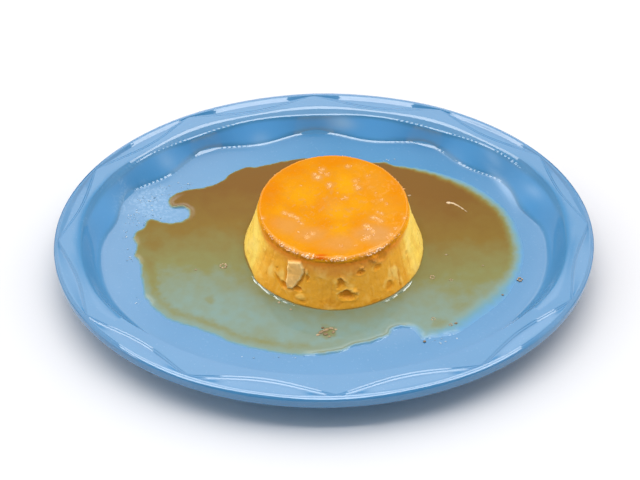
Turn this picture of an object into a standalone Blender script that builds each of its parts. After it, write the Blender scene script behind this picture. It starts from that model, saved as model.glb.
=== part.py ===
"""A creme caramel flan in its puddle of caramel, on an oval plate with a scalloped rim.

Metres, +Z up. The origin is the middle of the plate's footprint, on the surface it stands on. +X runs along
the plate's length and +Y across it. Four solids: plate, custard, caramel_top and caramel_sauce.
"""

import math

import bmesh
import bpy

MM = 0.001
GAP = 0.3 * MM  # clearance between solids that touch in the real thing

# Plate: heights are measured from the surface it stands on.
PLATE_LENGTH = 260.0 * MM
PLATE_WIDTH = 213.4 * MM
PLATE_SEGMENTS = 120
FLOOR_HEIGHT = 8.0 * MM  # top of the flat floor
FLOOR_THICKNESS = 3.6 * MM
EDGE_HEIGHT = 15.5 * MM  # the outermost line of the turned-down edge
CROWN_RISE = 3.1 * MM  # top of the rim above that line
EDGE_DROP = 2.9 * MM  # bottom of the edge below that line
# The edge on the way up to the lip: inset, and height over the outermost line.
EDGE_CURVE = [(0.0, -0.8 * MM), (0.1 * MM, 1.2 * MM), (0.6 * MM, 2.4 * MM)]

# Scallops: shallow scoops in the rim, between the lip and a ridge that swings in and out.
SCALLOPS = 12
SCALLOP_TURN = math.radians(1.0)  # where the first ridge meets the lip, as an angle of the oval
SCALLOP_DRIFT = math.radians(1.7)  # the scallops at the +X end lie this much further round
SCALLOP_CROWDING = math.radians(1.25)  # they are a little longer at the middle of the long sides
LIP_INSET = 1.7 * MM
CUSP_INSET = 2.5 * MM  # the ridge where two scallops meet, at the plate's ends
BELLY_SWING = 6.5 * MM  # how much further in the ridge runs at a scallop's middle
SIDE_INSET = 1.0 * MM  # how much further in the whole ridge runs on the long sides
SIDE_SWING = 1.7 * MM  # what the long sides add to the swing
SCOOP_DEPTH = 0.85 * MM
# Across a scoop: share of the way from the lip to the ridge, and share of the depth.
SCOOP_CURVE = [(0.3, 0.75), (0.62, 1.0), (0.87, 0.85)]

# Well: the wall between rim and floor, whose foot waves in step with the scallops.
SHOULDER_INSET = 12.1 * MM
SHOULDER_SWING = 1.3 * MM
SHOULDER_DROP = 0.5 * MM
CREASE_INSET = 14.0 * MM
CREASE_SIDE = 1.5 * MM  # how much further in the crease runs on the long sides
CREASE_DROP = 2.3 * MM
FOOT_INSET = 20.6 * MM
FOOT_SWING = 6.0 * MM
FOOT_FADE = 0.45  # the foot's waves fade out at this share of the plate's half width behind its middle
FLOOR_INSET = 31.0 * MM
# Down the wall: inset, share of the foot's swing, and height over the floor.
WALL_CURVE = [(17.6 * MM, 0.45, 4.0 * MM), (19.8 * MM, 0.9, 1.4 * MM), (21.8 * MM, 1.0, 0.35 * MM)]

# Foot ring under the plate.
FOOT_RING_INSET = 32.0 * MM
FOOT_RING_WIDTH = 3.5 * MM
FOOT_RING_SLOPE = 1.0 * MM
RECESS_LIFT = 0.3 * MM  # the underside inside the ring is this much higher than outside it
# The underside from the floor out to the edge: inset, and height over the floor's underside.
UNDERSIDE_CURVE = [
    (25.8 * MM, 0.4 * MM),
    (16.6 * MM, 7.2 * MM),
    (12.7 * MM, 10.0 * MM),
    (4.0 * MM, 10.7 * MM),
]
EDGE_THICKNESS = 2.7 * MM
EDGE_ROUND = 0.9 * MM
EDGE_INNER_RISE = 0.3 * MM

# Flan
FLAN_X = 4.4 * MM
FLAN_Y = 4.5 * MM
FLAN_BASE_RADIUS = 43.7 * MM
FLAN_TOP_RADIUS = 35.8 * MM
FLAN_HEIGHT = 26.6 * MM
FLAN_SEGMENTS = 72
FOOT_TUCK = 0.7 * MM  # the custard steps in this much where it meets the plate
CUSTARD_LEVELS = (0.04, 0.2, 0.4, 0.6)
FLAN_HOLLOWING = 0.5 * MM  # how far the middle of the side sinks in from a straight cone
CARAMEL_DEPTH = 3.4 * MM  # the caramel-soaked layer at the top
TOP_ROUND = 1.0 * MM
TOP_DISH = 0.5 * MM  # the middle of the top lies this much lower than its edge

# Sauce
SAUCE_DEPTH = 1.4 * MM
SAUCE_SEGMENTS = 96
SAUCE_EDGE = 1.6 * MM  # width of its rounded edge
# The puddle's uneven outline in millimetres, anticlockwise from the right.
PUDDLE = [
    (97, -1.5), (96, 7.5), (93, 19.5), (86.5, 33), (75.5, 45.5), (62, 54), (47.5, 59),
    (32, 63), (12, 67.5), (-6, 69), (-23, 65), (-38, 62), (-46.5, 56), (-52.5, 50.5),
    (-66, 47), (-76, 40), (-74, 34), (-66.5, 29.5), (-69.5, 24), (-85.5, 23.5), (-92, 15.5),
    (-91, 4.5), (-90, -4.5), (-88.5, -16), (-86.5, -27), (-79.5, -39), (-65.5, -47.5), (-52, -55),
    (-36, -63.5), (-20, -67.5), (-5, -69), (10, -65), (26, -59.5), (31.5, -52.5), (38.5, -54),
    (44, -62), (54.5, -58.5), (67.5, -52), (79, -41), (88.5, -29.5), (94.5, -15.5),
]


def mix(low, high, share):
    return low + (high - low) * share


def material(name, colour, roughness, metallic=0.0):
    made = bpy.data.materials.new(name)
    made.use_nodes = True
    shader = made.node_tree.nodes["Principled BSDF"]
    shader.inputs["Base Color"].default_value = (*colour, 1.0)
    shader.inputs["Roughness"].default_value = roughness
    shader.inputs["Metallic"].default_value = metallic
    made.diffuse_color = (*colour, 1.0)
    return made


def loft(name, rings, finish, collection, closed=False):
    """One closed solid through rings of equally many points, capped at both ends or joined end to end."""
    mesh = bmesh.new()
    loops = [[mesh.verts.new(point) for point in ring] for ring in rings]
    pairs = list(zip(loops, loops[1:]))
    if closed:
        pairs.append((loops[-1], loops[0]))
    else:
        mesh.faces.new(loops[0])
        mesh.faces.new(loops[-1])
    for lower, upper in pairs:
        for i, corner in enumerate(lower):
            j = (i + 1) % len(lower)
            mesh.faces.new((corner, lower[j], upper[j], upper[i]))
    bmesh.ops.recalc_face_normals(mesh, faces=mesh.faces)
    data = bpy.data.meshes.new(name)
    mesh.to_mesh(data)
    mesh.free()
    data.shade_smooth()
    data.set_sharp_from_angle(angle=math.radians(40))
    data.materials.append(finish)
    made = bpy.data.objects.new(name, data)
    collection.objects.link(made)
    return made


def turned(angle):
    return angle - SCALLOP_TURN - SCALLOP_DRIFT * math.cos(angle) + SCALLOP_CROWDING * math.sin(2 * angle)


def swell(angle):
    """0 where two scallops meet, 1 at the middle of a scallop."""
    return 0.5 - 0.5 * math.cos(SCALLOPS * turned(angle))


def arch(angle):
    """The same with a sharp cusp where two scallops meet."""
    return abs(math.sin(SCALLOPS / 2 * turned(angle)))


def side(angle):
    """0 at the plate's ends, 1 at the middle of its long sides."""
    return math.sin(angle) ** 2


def behind(angle):
    """0 along the front of the plate, 1 along its back."""
    share = min(max(math.sin(angle) / FOOT_FADE, 0.0), 1.0)
    return share * share * (3 - 2 * share)


def ridge_inset(angle):
    cusp = CUSP_INSET + SIDE_INSET * side(angle)
    return cusp + (BELLY_SWING + SIDE_SWING * side(angle)) * arch(angle)


def crease_inset(angle):
    return CREASE_INSET + CREASE_SIDE * side(angle)


def oval_ring(inset, height):
    """A ring of the plate: inset and height are functions of the oval's angle, or plain numbers."""
    ring = []
    for i in range(PLATE_SEGMENTS):
        angle = SCALLOP_TURN + 2 * math.pi * i / PLATE_SEGMENTS
        inward = inset(angle) if callable(inset) else inset
        up = height(angle) if callable(height) else height
        ring.append(
            (
                (PLATE_LENGTH / 2 - inward) * math.cos(angle),
                (PLATE_WIDTH / 2 - inward) * math.sin(angle),
                up,
            )
        )
    return ring


def scoop_ring(share, depth):
    """A ring inside the scallops, at a share of the way from the lip to the ridge."""
    crown = EDGE_HEIGHT + CROWN_RISE
    return oval_ring(
        lambda angle: mix(LIP_INSET, ridge_inset(angle), share),
        lambda angle: crown - depth * SCOOP_DEPTH * arch(angle),
    )


def waving(inset, swing):
    """An inset that swings with the scallops, if only behind the plate's middle line."""
    return lambda angle: inset + swing * swell(angle) * behind(angle)


def plate_rings():
    under = FLOOR_HEIGHT - FLOOR_THICKNESS
    crown = EDGE_HEIGHT + CROWN_RISE
    edge_bottom = EDGE_HEIGHT - EDGE_DROP
    inside = FOOT_RING_INSET + FOOT_RING_WIDTH
    foot_ring = [
        oval_ring(inside + FOOT_RING_SLOPE, under + RECESS_LIFT),
        oval_ring(inside, 0.0),
        oval_ring(FOOT_RING_INSET, 0.0),
        oval_ring(FOOT_RING_INSET - FOOT_RING_SLOPE, under),
    ]
    beneath = [oval_ring(inset, under + rise) for inset, rise in UNDERSIDE_CURVE]
    beneath.append(oval_ring(EDGE_THICKNESS, edge_bottom + EDGE_INNER_RISE))
    beneath.append(oval_ring(EDGE_ROUND, edge_bottom))
    edge = [oval_ring(inset, EDGE_HEIGHT + rise) for inset, rise in EDGE_CURVE]
    edge.append(oval_ring(LIP_INSET, crown))
    scallops = [scoop_ring(share, depth) for share, depth in SCOOP_CURVE]
    scallops.append(oval_ring(ridge_inset, crown))
    well = [
        oval_ring(waving(SHOULDER_INSET, SHOULDER_SWING), crown - SHOULDER_DROP),
        oval_ring(crease_inset, crown - CREASE_DROP),
    ]
    for inset, share, rise in WALL_CURVE:
        well.append(oval_ring(waving(inset, share * FOOT_SWING), FLOOR_HEIGHT + rise))
    well.append(oval_ring(FLOOR_INSET, FLOOR_HEIGHT))
    return foot_ring + beneath + edge + scallops + well


def unevenness(angle, share):
    """How far the flan's side stands proud of a true circle: most at its foot."""
    sag = 0.5 * MM * math.cos(angle + 1.0) + 0.25 * MM * math.cos(2 * angle + 2.6)
    return sag * (1 - 0.7 * share)


def flan_ring(radius, share, height, wobble=1.0):
    """A ring of the flan, as uneven as its side is at this share of the flan's height."""
    ring = []
    for i in range(FLAN_SEGMENTS):
        angle = 2 * math.pi * i / FLAN_SEGMENTS
        reach = radius + wobble * unevenness(angle, share)
        ring.append((FLAN_X + reach * math.cos(angle), FLAN_Y + reach * math.sin(angle), height))
    return ring


def flan_radius(share):
    """Radius at a share of the flan's height: a cone that spreads a little where it stands."""
    return mix(FLAN_BASE_RADIUS, FLAN_TOP_RADIUS, share) - FLAN_HOLLOWING * math.sin(math.pi * share)


def custard_rings():
    foot = FLOOR_HEIGHT + GAP
    top_share = 1 - (CARAMEL_DEPTH + GAP) / FLAN_HEIGHT
    rings = [flan_ring(FLAN_BASE_RADIUS - FOOT_TUCK, 0.0, foot)]
    for share in (*CUSTARD_LEVELS, top_share):
        rings.append(flan_ring(flan_radius(share), share, foot + share * FLAN_HEIGHT))
    return rings


def caramel_top_rings():
    top = FLOOR_HEIGHT + GAP + FLAN_HEIGHT
    under_share = 1 - CARAMEL_DEPTH / FLAN_HEIGHT
    side_share = 1 - TOP_ROUND / FLAN_HEIGHT
    return [
        flan_ring(flan_radius(under_share), under_share, top - CARAMEL_DEPTH),
        flan_ring(flan_radius(side_share), side_share, top - TOP_ROUND),
        flan_ring(FLAN_TOP_RADIUS - 0.3 * TOP_ROUND, 1.0, top - 0.3 * TOP_ROUND),
        flan_ring(FLAN_TOP_RADIUS - TOP_ROUND, 1.0, top),
        flan_ring(0.8 * FLAN_TOP_RADIUS, 1.0, top - 0.8 * TOP_DISH, 0.5),
        flan_ring(0.4 * FLAN_TOP_RADIUS, 1.0, top - TOP_DISH, 0.0),
    ]


def smooth_loop(points, count):
    """Points evenly numbered along a closed Catmull-Rom curve through the given ones."""
    found = []
    for i in range(count):
        along = i * len(points) / count
        start = int(along)
        t = along - start
        before, here, after, beyond = (points[(start + k - 1) % len(points)] for k in range(4))
        found.append(
            tuple(
                0.5
                * (
                    2 * b
                    + (c - a) * t
                    + (2 * a - 5 * b + 4 * c - d) * t**2
                    + (3 * b - a - 3 * c + d) * t**3
                )
                for a, b, c, d in zip(before, here, after, beyond)
            )
        )
    return found


def sauce_rings():
    outline = smooth_loop([(x * MM, y * MM) for x, y in PUDDLE], SAUCE_SEGMENTS)
    bottom = FLOOR_HEIGHT + GAP
    top = FLOOR_HEIGHT + SAUCE_DEPTH
    spokes = [(x - FLAN_X, y - FLAN_Y) for x, y in outline]

    def outer(inset, height):
        ring = []
        for x, y in spokes:
            share = 1 - inset / math.hypot(x, y)
            ring.append((FLAN_X + x * share, FLAN_Y + y * share, height))
        return ring

    def inner(height):
        ring = []
        for x, y in spokes:
            angle = math.atan2(y, x)
            reach = FLAN_BASE_RADIUS + unevenness(angle, 0.0) + GAP
            ring.append((FLAN_X + reach * math.cos(angle), FLAN_Y + reach * math.sin(angle), height))
        return ring

    return [
        inner(bottom),
        outer(0.0, bottom),
        outer(0.3 * SAUCE_EDGE, mix(bottom, top, 0.6)),
        outer(SAUCE_EDGE, top),
        inner(top),
    ]


def build():
    for old in list(bpy.data.objects):
        bpy.data.objects.remove(old)
    parts = bpy.data.collections.new("creme_caramel")
    bpy.context.scene.collection.children.link(parts)

    glaze = material("plate_blue", (0.20, 0.46, 0.74), 0.18)
    egg = material("custard_yellow", (0.83, 0.52, 0.07), 0.35)
    caramel = material("caramel_orange", (0.90, 0.33, 0.02), 0.22)
    syrup = material("syrup_brown", (0.22, 0.12, 0.05), 0.10)

    loft("plate", plate_rings(), glaze, parts)
    loft("custard", custard_rings(), egg, parts)
    loft("caramel_top", caramel_top_rings(), caramel, parts)
    loft("caramel_sauce", sauce_rings(), syrup, parts, closed=True)


build()
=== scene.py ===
import math
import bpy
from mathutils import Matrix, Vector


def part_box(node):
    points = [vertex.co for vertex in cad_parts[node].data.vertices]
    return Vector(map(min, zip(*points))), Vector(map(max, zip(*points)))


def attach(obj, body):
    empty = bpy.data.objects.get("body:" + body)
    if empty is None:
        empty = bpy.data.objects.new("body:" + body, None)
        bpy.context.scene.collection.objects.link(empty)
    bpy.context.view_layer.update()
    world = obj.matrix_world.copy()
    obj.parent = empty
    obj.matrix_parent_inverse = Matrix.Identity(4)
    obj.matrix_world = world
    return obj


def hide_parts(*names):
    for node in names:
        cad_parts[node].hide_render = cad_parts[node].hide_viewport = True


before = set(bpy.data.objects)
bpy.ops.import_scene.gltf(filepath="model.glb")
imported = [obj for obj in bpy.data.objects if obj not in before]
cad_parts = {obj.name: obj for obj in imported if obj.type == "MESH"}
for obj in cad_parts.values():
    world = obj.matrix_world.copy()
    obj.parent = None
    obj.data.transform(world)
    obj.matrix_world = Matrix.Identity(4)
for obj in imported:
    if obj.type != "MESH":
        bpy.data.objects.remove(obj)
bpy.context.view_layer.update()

from types import SimpleNamespace

import bpy
import numpy as np
from mathutils import Vector, noise

mm = 0.001
fullTurn = 2 * math.pi

# Sizes that several pieces share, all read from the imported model.
plateLow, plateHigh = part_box("plate")
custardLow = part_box("custard")[0]
topLow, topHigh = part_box("caramel_top")
gap = 0.3 * mm
plateMiddle = (plateLow + plateHigh) / 2
halfLength = (plateHigh.x - plateLow.x) / 2
halfWidth = (plateHigh.y - plateLow.y) / 2
crown = plateHigh.z
floorHeight = custardLow.z - gap
edgeLine = crown - 3.1 * mm
flanMiddle = (topLow + topHigh) / 2
flanHeight = topHigh.z - custardLow.z


def smooth(low, high, value):
    share = np.clip((value - low) / (high - low), 0, 1)
    return share * share * (3 - 2 * share)


def mix(low, high, share):
    return low + (high - low) * share


def bump(value, middle, width):
    return np.exp(-(((value - middle) / width) ** 2))


def wrapped(angle, middle):
    # degrees between an angle and a place on the side
    return (np.degrees(angle) - middle + 180) % 360 - 180


def noiseAt(points, scale, octaves=3, seed=0.0):
    # fractal noise in about -1..1 at each point of a grid, for a feature size given in metres
    shift = Vector((seed, 1.7 * seed, -0.6 * seed))
    flat = points.reshape(-1, 3).tolist()
    values = [noise.fractal(Vector(point) / scale + shift, 1.0, 2.0, octaves) for point in flat]
    return np.array(values).reshape(points.shape[:-1])


def smoothMesh(name, points, faces):
    mesh = bpy.data.meshes.new(name)
    mesh.from_pydata(points, [], faces)
    mesh.shade_smooth()
    return mesh


def gridMesh(name, grid, startPoint, endPoint):
    # closed rings of points become quads, and the start and end points close the ends with fans
    rings, segments = grid.shape[:2]
    index = np.arange(rings * segments).reshape(rings, segments)
    index = np.concatenate([index, index[:, :1]], axis=1)
    quads = np.stack([index[:-1, :-1], index[:-1, 1:], index[1:, 1:], index[1:, :-1]], axis=-1)
    faces = quads.reshape(-1, 4).tolist()
    for hub, ring, order in ((rings * segments, index[0], -1), (rings * segments + 1, index[-1], 1)):
        faces += [[hub, a, b][::order] for a, b in zip(ring[:-1].tolist(), ring[1:].tolist())]
    points = np.concatenate([grid.reshape(-1, 3), np.array([startPoint, endPoint], float)])
    return smoothMesh(name, points.tolist(), faces)


def setMask(mesh, name, values):
    # values for the grid's own points; the fans' hubs take the mean of the last few
    values = np.asarray(values, np.float32).reshape(-1)
    missing = len(mesh.vertices) - len(values)
    if missing:
        values = np.concatenate([values, np.full(missing, values[-8:].mean(), np.float32)])
    mesh.attributes.new(name, "FLOAT", "POINT").data.foreach_set("value", values)


def addPiece(name, mesh, finish, stands=()):
    piece = bpy.data.objects.new(name, mesh)
    bpy.context.scene.collection.objects.link(piece)
    mesh.materials.append(finish)
    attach(piece, "root")
    if stands:
        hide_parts(*stands)
    return piece


def plug(tree, value, socket):
    if isinstance(value, bpy.types.NodeSocket):
        tree.links.new(value, socket)
    else:
        socket.default_value = value


def addNode(tree, kind, settings=None, inputs=None):
    made = tree.nodes.new("ShaderNode" + kind)
    for key, value in (settings or {}).items():
        setattr(made, key, value)
    for key, value in (inputs or {}).items():
        plug(tree, value, made.inputs[key])
    return made


def startMaterial(name, roughness, **sockets):
    made = bpy.data.materials.new(name)
    made.use_nodes = True
    shader = made.node_tree.nodes["Principled BSDF"]
    shader.inputs["Roughness"].default_value = roughness
    for key, value in sockets.items():
        shader.inputs[key].default_value = value
    return made, made.node_tree, shader


def startGroup(name, inputs, output):
    # a node group that takes numbers and puts out one
    group = bpy.data.node_groups.new(name, "ShaderNodeTree")
    for title, value in inputs.items():
        socket = group.interface.new_socket(title, in_out="INPUT", socket_type="NodeSocketFloat")
        socket.default_value = value
    group.interface.new_socket(output, in_out="OUTPUT", socket_type="NodeSocketFloat")
    return group, group.nodes.new("NodeGroupInput"), group.nodes.new("NodeGroupOutput")


def makeMottle():
    # soft patches: Patches runs from 0 to 1 at the given size
    values = {"Scale": 60.0, "Detail": 3.0, "Low": 0.35, "High": 0.65}
    group, source, result = startGroup("mottle", values, "Patches")
    place = addNode(group, "TexCoord")
    cloud = addNode(group, "TexNoise", None, {
        "Vector": place.outputs["Object"],
        "Scale": source.outputs["Scale"],
        "Detail": source.outputs["Detail"],
    })
    spread = addNode(group, "MapRange", {"interpolation_type": "SMOOTHSTEP"}, {
        "Value": cloud.outputs["Fac"],
        "From Min": source.outputs["Low"],
        "From Max": source.outputs["High"],
    })
    group.links.new(spread.outputs["Result"], result.inputs["Patches"])
    return group


def makeSkinGrain():
    # a fine uneven surface: two sizes of noise and small pits, as a height
    values = {"Scale": 900.0, "Coarse": 0.5, "Pits": 0.2}
    group, source, result = startGroup("skinGrain", values, "Height")
    place = addNode(group, "TexCoord")
    fine = addNode(group, "TexNoise", None, {
        "Vector": place.outputs["Object"],
        "Scale": source.outputs["Scale"],
        "Detail": 2.0,
    })
    coarseScale = addNode(group, "Math", {"operation": "MULTIPLY"}, {0: source.outputs["Scale"], 1: 0.22})
    coarse = addNode(group, "TexNoise", None, {
        "Vector": place.outputs["Object"],
        "Scale": coarseScale.outputs["Value"],
        "Detail": 2.0,
    })
    cells = addNode(group, "TexVoronoi", None, {
        "Vector": place.outputs["Object"],
        "Scale": coarseScale.outputs["Value"],
    })
    pits = addNode(group, "MapRange", None, {
        "Value": cells.outputs["Distance"],
        "From Min": 0.0,
        "From Max": 0.25,
    })
    both = addNode(group, "Mix", None, {
        "Factor": source.outputs["Coarse"],
        "A": fine.outputs["Fac"],
        "B": coarse.outputs["Fac"],
    })
    sunk = addNode(group, "Math", {"operation": "MULTIPLY_ADD"}, {
        0: pits.outputs["Result"],
        1: source.outputs["Pits"],
        2: both.outputs["Result"],
    })
    group.links.new(sunk.outputs["Value"], result.inputs["Height"])
    return group


mottleGroup = makeMottle()
grainGroup = makeSkinGrain()
print("node groups made")


def mottle(tree, scale, low=0.35, high=0.65, detail=3.0):
    values = {"Scale": scale, "Detail": detail, "Low": low, "High": high}
    return addNode(tree, "Group", {"node_tree": mottleGroup}, values).outputs["Patches"]


def skinGrain(tree, shader, scale, strength, distance, coarse=0.5, pits=0.0):
    values = {"Scale": scale, "Coarse": coarse, "Pits": pits}
    made = addNode(tree, "Group", {"node_tree": grainGroup}, values)
    relief = addNode(tree, "Bump", None, {
        "Strength": strength,
        "Distance": distance,
        "Height": made.outputs["Height"],
    })
    tree.links.new(relief.outputs["Normal"], shader.inputs["Normal"])


def maskOf(tree, name):
    return addNode(tree, "Attribute", {"attribute_name": name}).outputs["Fac"]


def tint(tree, amount, under, over):
    # a colour that goes from under to over by amount
    blend = addNode(tree, "Mix", {"data_type": "RGBA"})
    plug(tree, amount, blend.inputs[0])
    for value, socket in ((under, blend.inputs[6]), (over, blend.inputs[7])):
        plug(tree, value if isinstance(value, bpy.types.NodeSocket) else (*value, 1.0), socket)
    return blend.outputs[2]


def layered(tree, colour, look, titles):
    # each mask lays its own colour over those before it
    for title in titles:
        colour = tint(tree, maskOf(tree, title), colour, look[title])
    return colour


def times(tree, a, b):
    return addNode(tree, "Math", {"operation": "MULTIPLY", "use_clamp": True}, {0: a, 1: b}).outputs["Value"]


def mapped(tree, value, toLow, toHigh):
    made = addNode(tree, "MapRange", None, {"Value": value, "To Min": toLow, "To Max": toHigh})
    return made.outputs["Result"]


plateLook = {
    "segments": 800,
    "scallops": 12,
    "strike": (0.39, 0.51),  # the slopes that mirror the overhead light, in front and at the back
    "scallopTurn": math.radians(1.0),
    "scallopDrift": math.radians(1.7),
    "scallopCrowding": math.radians(1.25),
    "cuspInset": 2.5 * mm,
    "sideInset": 1.0 * mm,
    "bellySwing": 6.5 * mm,
    "sideSwing": 1.7 * mm,
    "lensDepth": (0.70 * mm, 1.40 * mm),
    "shoulderInset": 11.2 * mm,
    "shoulderSwing": 1.5 * mm,
    "creaseInset": (12.4 * mm, 15.4 * mm),
    "frontWallInset": (12.4 * mm, 15.6 * mm),
    "footInset": 20.3 * mm,
    "footSwing": 5.1 * mm,
    "frontFootInset": 22.4 * mm,
    "footRingInset": 32.0 * mm,
    "footRingWidth": 3.5 * mm,
    "floorThickness": 3.6 * mm,
    "edgeThickness": 2.9 * mm,
    "beadHeight": 0.07 * mm,
    "beadLength": 2.7 * mm,
    "blue": (0.050, 0.200, 0.388),
    "paleBlue": (0.054, 0.208, 0.400),
    # painted light: the colour the back of the wall is raised to, standing in for bounced light
    "paintedWallLight": (0.078, 0.275, 0.560),
    "haze": (0.20, 0.37, 0.56),
    # colour of the painted reflections on the wall
    "paintedReflection": (0.24, 0.40, 0.60),
    "roughness": 0.17,
}
plateAngle = np.arange(plateLook["segments"]) * fullTurn / plateLook["segments"]
# How much each angle belongs to the front and back sides, to the back alone, and to the steep wall in front.
plateSine = np.sin(plateAngle)
plateSide = plateSine**2
plateBehind = smooth(-0.05, 0.4, plateSine)
plateSteep = smooth(0.34, 0.76, -plateSine)
plateUnder = floorHeight - plateLook["floorThickness"]

# Painted reflections, as pale streaks on the wall: degrees, insets at its ends, half width in degrees, lean
# in degrees, strength.
paintedWallReflections = [(84, 15.5, 21, 3.2, -3, 0.75), (106, 20, 26, 2.6, 0, 0.35), (22, 14.5, 20, 4.0, 2, 0.4)]
paintedWallReflections += [(40, 14.5, 20, 3.2, -4, 0.4), (134, 15, 24, 2.6, 0, 0.35), (31, 20, 28, 4.2, -15, 0.8)]


def plateSwell(sharp):
    # 0 at the cusps and 1 at the bellies of the scallops
    look = plateLook
    turned = plateAngle - look["scallopTurn"] - look["scallopDrift"] * np.cos(plateAngle)
    turned = turned + look["scallopCrowding"] * np.sin(2 * plateAngle)
    if sharp:
        return np.abs(np.sin(look["scallops"] / 2 * turned))
    return 0.5 - 0.5 * np.cos(look["scallops"] * turned)


def straightRings(stations, counts):
    # rings through the stations (inset, height), with counts[i] of them between station i and i + 1
    shape = plateAngle.shape
    table = np.array([[np.broadcast_to(a, shape), np.broadcast_to(b, shape)] for a, b in stations])
    rings = []
    for here, after, count in zip(table, table[1:], counts):
        rings += [mix(here, after, k / count) for k in range(count)]
    rings.append(table[-1])
    return np.array(rings)


def ringPoints(inset, height):
    x = plateMiddle.x + (halfLength - inset) * np.cos(plateAngle)
    y = plateMiddle.y + (halfWidth - inset) * np.sin(plateAngle)
    return np.stack([x, y, height], axis=-1)


def strikeOf(inset):
    # how steeply inward a strip that runs round the plate at this inset must rise or fall to catch the
    # overhead light
    paths = []
    for around in (inset, np.mean(inset)):
        x = (halfLength - around) * np.cos(plateAngle)
        y = (halfWidth - around) * np.sin(plateAngle)
        along = np.stack([np.roll(x, -1) - np.roll(x, 1), np.roll(y, -1) - np.roll(y, 1)])
        paths.append(along / np.hypot(*along))
    facing = mix(*plateLook["strike"], 0.5 + 0.5 * np.sin(plateAngle))
    slope = facing / np.maximum(np.abs(paths[0][0]), 0.55) ** 1.35
    return slope * np.abs((paths[0] * paths[1]).sum(axis=0))


def rimLines():
    # the lines that run round the rim, as insets from the plate's edge
    look = plateLook
    swell = plateSwell(False)
    bellies = look["bellySwing"] + look["sideSwing"] * plateSide
    crease = mix(*look["creaseInset"], smooth(0, 0.75, plateSide))
    # the foot of the wall waves with the scallops along the back, and runs furthest in at the right
    footLine = look["footInset"] + look["footSwing"] * swell
    footLine = footLine + 2.5 * mm * bump(wrapped(plateAngle, 27), 0, 12)
    return SimpleNamespace(
        swell=swell,
        lip=(mix(0.55, 1.0, plateSide) + mix(-0.3, 0.3, swell) * plateSide) * mm,
        chord=(1.9 + 0.7 * plateSide) * mm,
        ridge=look["cuspInset"] + look["sideInset"] * plateSide + bellies * plateSwell(True),
        shoulder=np.minimum(look["shoulderInset"] + look["shoulderSwing"] * swell, crease - 1.4 * mm),
        crease=crease,
        foot=mix(look["frontFootInset"], footLine, plateBehind),
    )


def undersideStations():
    # from the middle out: the floor, the foot ring, the flare and the edge that turns down
    ringOut = plateLook["footRingInset"]
    ringIn = ringOut + plateLook["footRingWidth"]
    edgeBottom = edgeLine - plateLook["edgeThickness"]
    return [
        (ringIn + 14 * mm, plateUnder + 0.3 * mm),
        (ringIn + 1.6 * mm, plateUnder + 0.3 * mm),
        (ringIn + 0.7 * mm, plateUnder - 0.4 * mm),
        (ringIn + 0.15 * mm, 0.5 * mm),
        (ringIn - 0.35 * mm, 0.0),
        (ringOut + 0.35 * mm, 0.0),
        (ringOut - 0.15 * mm, 0.5 * mm),
        (ringOut - 0.8 * mm, plateUnder - 0.4 * mm),
        (ringOut - 1.8 * mm, plateUnder),
        (25.8 * mm, plateUnder + 0.4 * mm),
        (16.6 * mm, mix(floorHeight, crown, 0.34)),
        (12.7 * mm, edgeLine - 1.1 * mm),
        (4.0 * mm, edgeLine - 0.4 * mm),
        (2.9 * mm, edgeLine - 1.0 * mm),
        (2.6 * mm, edgeBottom + 0.7 * mm),
        (2.1 * mm, edgeBottom + 0.1 * mm),
        (1.2 * mm, edgeBottom),
        (0.5 * mm, edgeBottom + 0.2 * mm),
        (0.1 * mm, edgeBottom + 0.9 * mm),
    ]


def edgeStations(line):
    # up the outside of the edge, and over the narrow lip that shines
    lipWide = line.chord - 0.1 * mm - line.lip
    lipStrike = strikeOf(line.chord)
    lipRise = 0.4 * lipWide * lipStrike + 0.03 * mm
    lipDip = 0.3 * lipWide * lipStrike
    return [
        (0.0, edgeLine - 0.6 * mm),
        (0.04 * mm, edgeLine + 0.9 * mm),
        (0.4 * line.lip, crown - 0.95 * mm),
        (line.lip - 0.2 * mm, crown - 0.22 * mm - lipRise - lipDip),
        (line.lip, crown - lipRise - lipDip),
        (line.lip + 0.4 * lipWide, crown - lipDip - 0.03 * mm),
        (line.lip + 0.7 * lipWide, crown - lipDip),
    ]


def scallopStations(line):
    # a slope down from the lip, and two steps up to the ridge with a tread between them, all of them as
    # steep as the overhead light needs to shine in them; slope holds shares of its run and depth, and steps
    # holds how many step runs and treads before the ridge, and at what share of the depth
    slope = ((0.15, 0.07), (0.38, 0.35), (0.62, 0.65), (0.85, 0.93), (1.0, 0.98))
    steps = [(2.25, 1, 1.0), (2, 1, 0.94), (1, 1, 0.50), (0.85, 1, 0.48)]
    steps += [(1, 0.15, 0.45), (0.85, 0, 0.40), (0, 0, 0.02)]
    room = np.maximum(line.ridge - line.chord, 0.3 * mm)
    fade = room / (room + 1.0 * mm)
    drop = fade * np.minimum(0.25 * mm + 0.22 * room, mix(*plateLook["lensDepth"], plateBehind))
    stepRun = 0.44 * drop / np.maximum(strikeOf(line.ridge), 0.15)
    tread = 0.75 * mm * fade
    frontFall = np.maximum(room - 2.3 * stepRun - tread, 0.3 * mm)
    fall = mix(frontFall, 1.25 * drop / strikeOf(line.chord), plateBehind)
    squeeze = np.minimum(1, (room - 0.2 * mm * fade) / (fall + 2.3 * stepRun + tread))
    fall, stepRun, tread = (squeeze * part for part in (fall, stepRun, tread))
    stations = [(line.chord - 0.1 * mm, crown), (line.chord + 0.1 * mm, crown - 0.01 * mm * fade)]
    for share, depth in slope:
        stations.append((line.chord + 0.1 * mm + share * (fall - 0.1 * mm), crown - depth * drop))
    for runs, treads, depth in steps:
        stations.append((line.ridge - 0.1 * mm - runs * stepRun - treads * tread, crown - depth * drop))
    return stations + [(line.ridge + 0.15 * mm, crown + 0.01 * mm)]


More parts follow.
